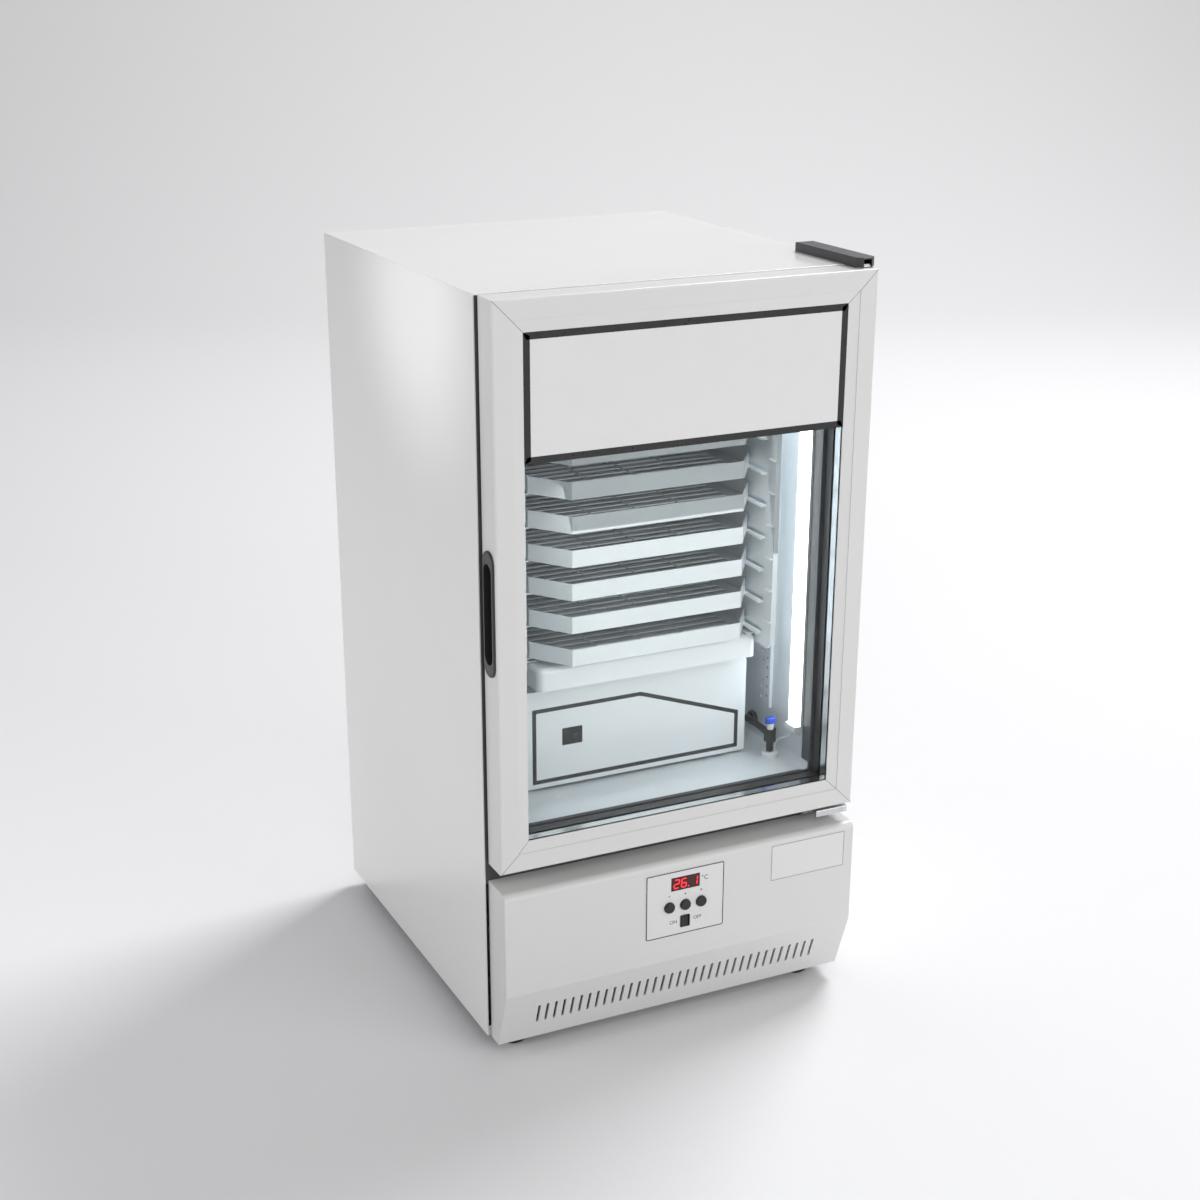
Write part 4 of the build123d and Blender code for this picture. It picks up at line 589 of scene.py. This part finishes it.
def addControlMarks():
    low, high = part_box("control_plate")
    front = low[1]
    edge = panelLook["lineInset"]
    sides = (low[0] + edge, high[0] - edge, low[2] + edge, high[2] - edge)
    outline = roundedOutline(*sides, panelLook["corner"], steps=4)
    line = lineShape(outline, panelLook["lineWidth"], front - printThickness, front)
    addPiece("controlLine", line, "cabinet", blackPrint)
    middle = (low[0] + high[0]) / 2
    windowZ = (low[2] + high[2]) / 2 + panelLook["windowRise"]
    halfWidth, halfHeight = panelLook["windowWidth"] / 2, panelLook["windowHeight"] / 2
    sides = (middle - halfWidth, middle + halfWidth, windowZ - halfHeight, windowZ + halfHeight)
    window = roundedOutline(*sides, panelLook["windowCorner"], steps=2)
    windowFront = front - panelLook["windowProud"]
    windowShape = plateShape(window, windowFront, front + panelLook["windowSunk"])
    addPiece("displayWindow", windowShape, "cabinet", displayRed)
    shapes = [digitShape(segments, middle + x, windowZ, windowFront) for segments, x in panelLook["digits"]]
    pointZ = windowZ - panelLook["digitHeight"] / 2
    point = circleOutline(middle + panelLook["pointPlace"], pointZ, panelLook["pointRadius"], sides=12)
    shapes.append(plateShape(point, windowFront - printThickness, windowFront))
    addPiece("displayDigits", joined(shapes), "cabinet", digitGlow)
    unitX = middle + halfWidth + panelLook["unitGap"]
    circle = circleOutline(unitX, windowZ + panelLook["ringRise"], panelLook["ringRadius"], sides=16)
    ring = lineShape(circle, panelLook["ringLine"], front - printThickness, front)
    addPiece("degreeRing", ring, "cabinet", blackPrint)
    letterX, letterZ = unitX + panelLook["unitLetterGap"], windowZ + panelLook["unitLetterRise"]
    writtenMark("unitLetter", "C", panelLook["unitSize"], letterX, front, letterZ, "cabinet", blackPrint)
    switchZ = sum(corner[2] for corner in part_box("rocker")) / 2
    for name, word, place in (("onLetters", "ON", "onPlace"), ("offLetters", "OFF", "offPlace")):
        x, z = middle + panelLook[place][0], switchZ + panelLook[place][1]
        writtenMark(name, word, panelLook["letterSize"], x, front, z, "cabinet", blackPrint)
    addButtonMarks(front)


def addButtonMarks(front):
    # a dot, an upward and a downward triangle stand over the three buttons
    size = panelLook["markSize"]
    triangle = np.array([(-size, -size), (size, -size), (0, size)])
    tops = [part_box(f"button_{number + 1}") for number in range(buttonCount)]
    places = [((low[0] + high[0]) / 2, high[2] + panelLook["markRise"]) for low, high in tops]
    dot = circleOutline(*places[0], size * panelLook["dotShare"], sides=12)
    outlines = [dot, triangle + places[1], triangle[::-1] * (1, -1) + places[2]]
    shapes = [plateShape(outline, front - printThickness, front) for outline in outlines]
    addPiece("buttonMarks", joined(shapes), "cabinet", greyPrintAndHoleShade)


addControlMarks()
print("control plate marked")

# fascia: a bare plate at the right, inside a fine line
labelLook = {
    "left": 0.1112,
    "right": 0.2084,
    "bottom": 0.1636,
    "top": 0.2073,
    "corner": 0.0008,
    "line": 0.0005,
}


def addLabelPlate():
    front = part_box("fascia")[0][1]
    sides = [labelLook[side] for side in ("left", "right", "bottom", "top")]
    outline = roundedOutline(*sides, labelLook["corner"], steps=3)
    face = front - printThickness
    addPiece("labelPlate", plateShape(outline, face, front), "cabinet", platePaint)
    line = lineShape(outline, labelLook["line"], face - printThickness / 2, face)
    addPiece("labelLine", line, "cabinet", greyPrintAndHoleShade)


addLabelPlate()

# drive housing: the dark outline with its sloping corner, and the square window
housingLook = {
    "left": 0.0105,
    "right": 0.0095,
    "bottom": 0.0054,
    "top": 0.0214,
    "breakX": 0.0044,
    "shoulder": 0.0661,
    "lineWidth": 0.0048,
    "windowX": -0.0825,
    "windowZ": 0.3333,
    "windowWidth": 0.0250,
    "windowHeight": 0.0207,
    "windowCorner": 0.0006,
}


def addHousingPrint():
    low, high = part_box("drive_housing")
    front = low[1]
    left, right = low[0] + housingLook["left"], high[0] - housingLook["right"]
    bottom, top = low[2] + housingLook["bottom"], high[2] - housingLook["top"]
    outline = [(left, bottom), (right, bottom), (right, high[2] - housingLook["shoulder"])]
    outline += [(housingLook["breakX"], top), (left, top)]
    shape = lineShape(outline, housingLook["lineWidth"], front - printThickness, front)
    addPiece("housingLine", shape, "cabinet", blackPrint)
    halfWidth, halfHeight = housingLook["windowWidth"] / 2, housingLook["windowHeight"] / 2
    x, z = housingLook["windowX"], housingLook["windowZ"]
    sides = (x - halfWidth, x + halfWidth, z - halfHeight, z + halfHeight)
    window = roundedOutline(*sides, housingLook["windowCorner"], steps=2)
    addPiece("housingWindow", plateShape(window, front - 2 * printThickness, front), "cabinet", blackPrint)


addHousingPrint()
print("housing marked")

# shelf standards: small round holes down the raised ribs, drawn as dark discs of painted shade
holeLook = {
    "pitch": 0.012,
    "first": 0.014,
    "count": 38,
    "rows": 2,
    "radius": 0.0014,
    "thickness": 0.00005,
    "ribProud": 0.004,
    "fromRibFront": 0.006,
    "frontSpacing": 0.210,
}


def addStandardHoleShade():
    # a row of dark discs of painted shade, one for each hole, on each rib, every pitch up the wall
    low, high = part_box("shelf_standards")
    levels = low[2] + holeLook["first"] + np.arange(holeLook["count"]) * holeLook["pitch"]
    shapes = []
    for wall, inward in ((low[0], 1), (high[0], -1)):
        face = wall + inward * holeLook["ribProud"]
        front = face + inward * holeLook["thickness"]
        for number in range(holeLook["rows"]):
            y = low[1] + holeLook["fromRibFront"] + number * holeLook["frontSpacing"]
            disc = plateShape(circleOutline(y, 0, holeLook["radius"], sides=10), face, front, "side")
            shapes.append(repeated(disc, np.stack([levels * 0, levels * 0, levels], axis=-1)))
    addPiece("standardHoleShade", joined(shapes), "cabinet", greyPrintAndHoleShade)


addStandardHoleShade()

# rack's left side: it starts behind the trays' left bevels
rackLook = {"behindShoulder": 0.0014, "shoulder": 0.0446, "weld": 0.000001}


def addRackLeft():
    # the node's own form, cut square across at one depth and closed there
    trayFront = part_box("tray_1")[0][1]
    start = trayFront + rackLook["shoulder"] + rackLook["behindShoulder"]
    work = bmesh.new()
    work.from_mesh(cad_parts["rack_left"].data)
    bmesh.ops.remove_doubles(work, verts=work.verts[:], dist=rackLook["weld"])
    everything = work.verts[:] + work.edges[:] + work.faces[:]
    cut = {"plane_co": (0, start, 0), "plane_no": (0, 1, 0), "clear_inner": True}
    bmesh.ops.bisect_plane(work, geom=everything, **cut)
    bmesh.ops.holes_fill(work, edges=[edge for edge in work.edges if edge.is_boundary])
    bmesh.ops.triangulate(work, faces=[face for face in work.faces if len(face.verts) > 4])
    bmesh.ops.recalc_face_normals(work, faces=work.faces[:])
    print("rack left: open edges", sum(edge.is_boundary for edge in work.edges), "faces", len(work.faces))
    mesh = bpy.data.meshes.new("rackLeftSide")
    work.to_mesh(mesh)
    work.free()
    piece = finishPiece("rackLeftSide", mesh, "carriage", rackPaint)
    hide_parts("rack_left")


addRackLeft()
print("rack side set")

# pan head screws where the real cabinet has them
screwLook = {"radius": 0.0038, "height": 0.0011, "edge": 0.022, "rows": 6, "columns": 4}
bracketLook = {"radius": 0.0032, "height": 0.0018, "inset": 0.008, "rise": 0.006, "depth": 0.031}


def addScrews():
    low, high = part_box("rear_panel")
    back = high[1]
    edge = screwLook["edge"]
    xs = np.linspace(low[0] + edge, high[0] - edge, screwLook["columns"])
    zs = np.linspace(low[2] + edge, high[2] - edge, screwLook["rows"])
    rim = [(x, back, z) for x in (xs[0], xs[-1]) for z in zs]
    rim += [(x, back, z) for x in xs[1:-1] for z in (zs[0], zs[-1])]
    head = domeShape((0, 0, 0), screwLook["radius"], screwLook["height"], (0, 1, 0))
    addPiece("rearScrews", repeated(head, rim), "cabinet", zincSteel, smooth=True)
    low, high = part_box("lower_hinge_bracket")
    y, z = low[1] + bracketLook["depth"], low[2] + bracketLook["rise"]
    places = [(low[0] + bracketLook["inset"], y, z), (high[0] - bracketLook["inset"], y, z)]
    head = domeShape((0, 0, 0), bracketLook["radius"], bracketLook["height"], (0, -1, 0))
    addPiece("bracketScrews", repeated(head, places), "cabinet", zincSteel, smooth=True)


addScrews()
print("screws set")

# studio: a pale sweep that turns darker up the wall as painted shade, a bright surround and soft boxes
studioLook = {
    "floorColour": (0.80, 0.80, 0.81),
    # the wall is given a darker colour than the floor as painted shade
    "wallShadedColour": (0.74, 0.74, 0.74),
    "turned": -25.0,
    "surround": (0.99, 0.99, 1.0),
    "surroundStrength": 0.39,
    "reach": 9.0,
    "front": -5.0,
    "depth": 4.2,
    "bend": 1.6,
    "bendSteps": 17,
    "wall": 5.0,
    "shadeRise": 1.6,
    "roughness": 0.9,
}


def addSweep():
    # a flat floor that turns up into a wall behind the object through a quarter circle
    bend = studioLook["bend"]
    start = studioLook["depth"]
    turn = np.linspace(0, math.pi / 2, studioLook["bendSteps"])
    y = np.concatenate([[studioLook["front"]], start + bend * np.sin(turn), [start + bend]])
    z = np.concatenate([[0.0], bend - bend * np.cos(turn), [bend + studioLook["wall"]]])
    x = np.linspace(-studioLook["reach"], studioLook["reach"], 3)
    across, along = np.meshgrid(x, y)
    turned = math.radians(studioLook["turned"])
    # turned about the upright: x cos t - y sin t, x sin t + y cos t
    east = across * math.cos(turned) - along * math.sin(turned)
    north = across * math.sin(turned) + along * math.cos(turned)
    grid = np.stack([east, north, np.repeat(z[:, None], 3, 1)], axis=-1)
    i, j = np.meshgrid(np.arange(len(y) - 1), np.arange(2), indexing="ij")
    corners = [i * 3 + j, i * 3 + j + 1, (i + 1) * 3 + j + 1, (i + 1) * 3 + j]
    quads = np.stack(corners, axis=-1).reshape(-1, 4)
    mesh = bpy.data.meshes.new("studioSweep")
    mesh.from_pydata(grid.reshape(-1, 3).tolist(), [], quads.tolist())
    mesh.polygons.foreach_set("use_smooth", [True] * len(mesh.polygons))
    colour, roughness = studioLook["floorColour"], studioLook["roughness"]
    material, nodes, links, shader = newFinish("sweepPaperPaintedShade", colour, roughness)
    # painted shade: up to this rise the base colour turns from the floor colour to the darker wall colour
    place = nodes.new("ShaderNodeTexCoord")
    split = nodes.new("ShaderNodeSeparateXYZ")
    ramp = nodes.new("ShaderNodeValToRGB")
    spread = nodes.new("ShaderNodeMapRange")
    spread.inputs["From Min"].default_value = 0.0
    spread.inputs["From Max"].default_value = studioLook["shadeRise"]
    links.new(place.outputs["Object"], split.inputs["Vector"])
    links.new(split.outputs["Z"], spread.inputs["Value"])
    links.new(spread.outputs["Result"], ramp.inputs["Fac"])
    ramp.color_ramp.elements[0].color = (*studioLook["floorColour"], 1)
    ramp.color_ramp.elements[1].color = (*studioLook["wallShadedColour"], 1)
    links.new(ramp.outputs["Color"], shader.inputs["Base Color"])
    mesh.materials.append(material)
    sweep = bpy.data.objects.new("studioSweep", mesh)
    bpy.context.collection.objects.link(sweep)


# each soft box: place, aim, width, height and power in watts
softBoxes = {
    "keyBox": ((2.9, 1.3, 4.4), (0.0, 0.0, 0.3), 2.0, 2.0, 190.0),
    "frontBox": ((1.5, -3.2, 1.5), (0.0, 0.0, 0.35), 2.2, 1.6, 35.0),
    "leftBox": ((-2.6, 0.2, 0.9), (0.0, 0.0, 0.3), 1.4, 1.0, 13.0),
    "floorBox": ((-0.6, -2.6, 2.6), (0.0, -1.1, 0.0), 1.6, 0.8, 14.0),
    "wallBox": ((1.27, 2.72, 3.4), (2.45, 5.26, 2.2), 6.0, 0.8, 30.0),
    "chamberBox": ((0.0, -0.185, 0.80), (0.0, 0.0, 0.42), 0.32, 0.03, 0.5),
    "chamberFill": ((0.0, -0.200, 0.46), (0.0, 0.2, 0.38), 0.30, 0.36, 0.20),
}


def addSoftBox(name, place, aim, width, height, power):
    light = bpy.data.lights.new(name, "AREA")
    light.shape = "RECTANGLE"
    light.size = width
    light.size_y = height
    light.energy = power
    box = bpy.data.objects.new(name, light)
    box.visible_camera = False
    bpy.context.collection.objects.link(box)
    direction = Vector(aim) - Vector(place)
    box.matrix_world = Matrix.Translation(place) @ direction.to_track_quat("-Z", "Y").to_matrix().to_4x4()


spotLook = {
    "place": (-1.7, -0.35, 1.05),
    "aim": (-0.225, -0.05, 0.83),
    "power": 36.0,
    "cone": 13.0,
    "blend": 0.7,
    "softness": 0.08,
}


def addEdgeSpot():
    # a round pool of light on the left side's upper part
    light = bpy.data.lights.new("edgeSpot", "SPOT")
    light.energy = spotLook["power"]
    light.spot_size = math.radians(spotLook["cone"])
    light.spot_blend = spotLook["blend"]
    light.shadow_soft_size = spotLook["softness"]
    spot = bpy.data.objects.new("edgeSpot", light)
    spot.visible_camera = False
    bpy.context.collection.objects.link(spot)
    direction = Vector(spotLook["aim"]) - Vector(spotLook["place"])
    turn = direction.to_track_quat("-Z", "Y").to_matrix().to_4x4()
    spot.matrix_world = Matrix.Translation(spotLook["place"]) @ turn


def addSurround():
    world = bpy.data.worlds.new("studioSurround")
    bpy.context.scene.world = world
    world.use_nodes = True
    background = world.node_tree.nodes["Background"]
    background.inputs["Color"].default_value = (*studioLook["surround"], 1)
    background.inputs["Strength"].default_value = studioLook["surroundStrength"]
    bpy.context.scene.view_settings.view_transform = "Standard"


addSweep()
addSurround()
for boxName, boxLook in softBoxes.items():
    addSoftBox(boxName, *boxLook)
addEdgeSpot()
print("studio lit")
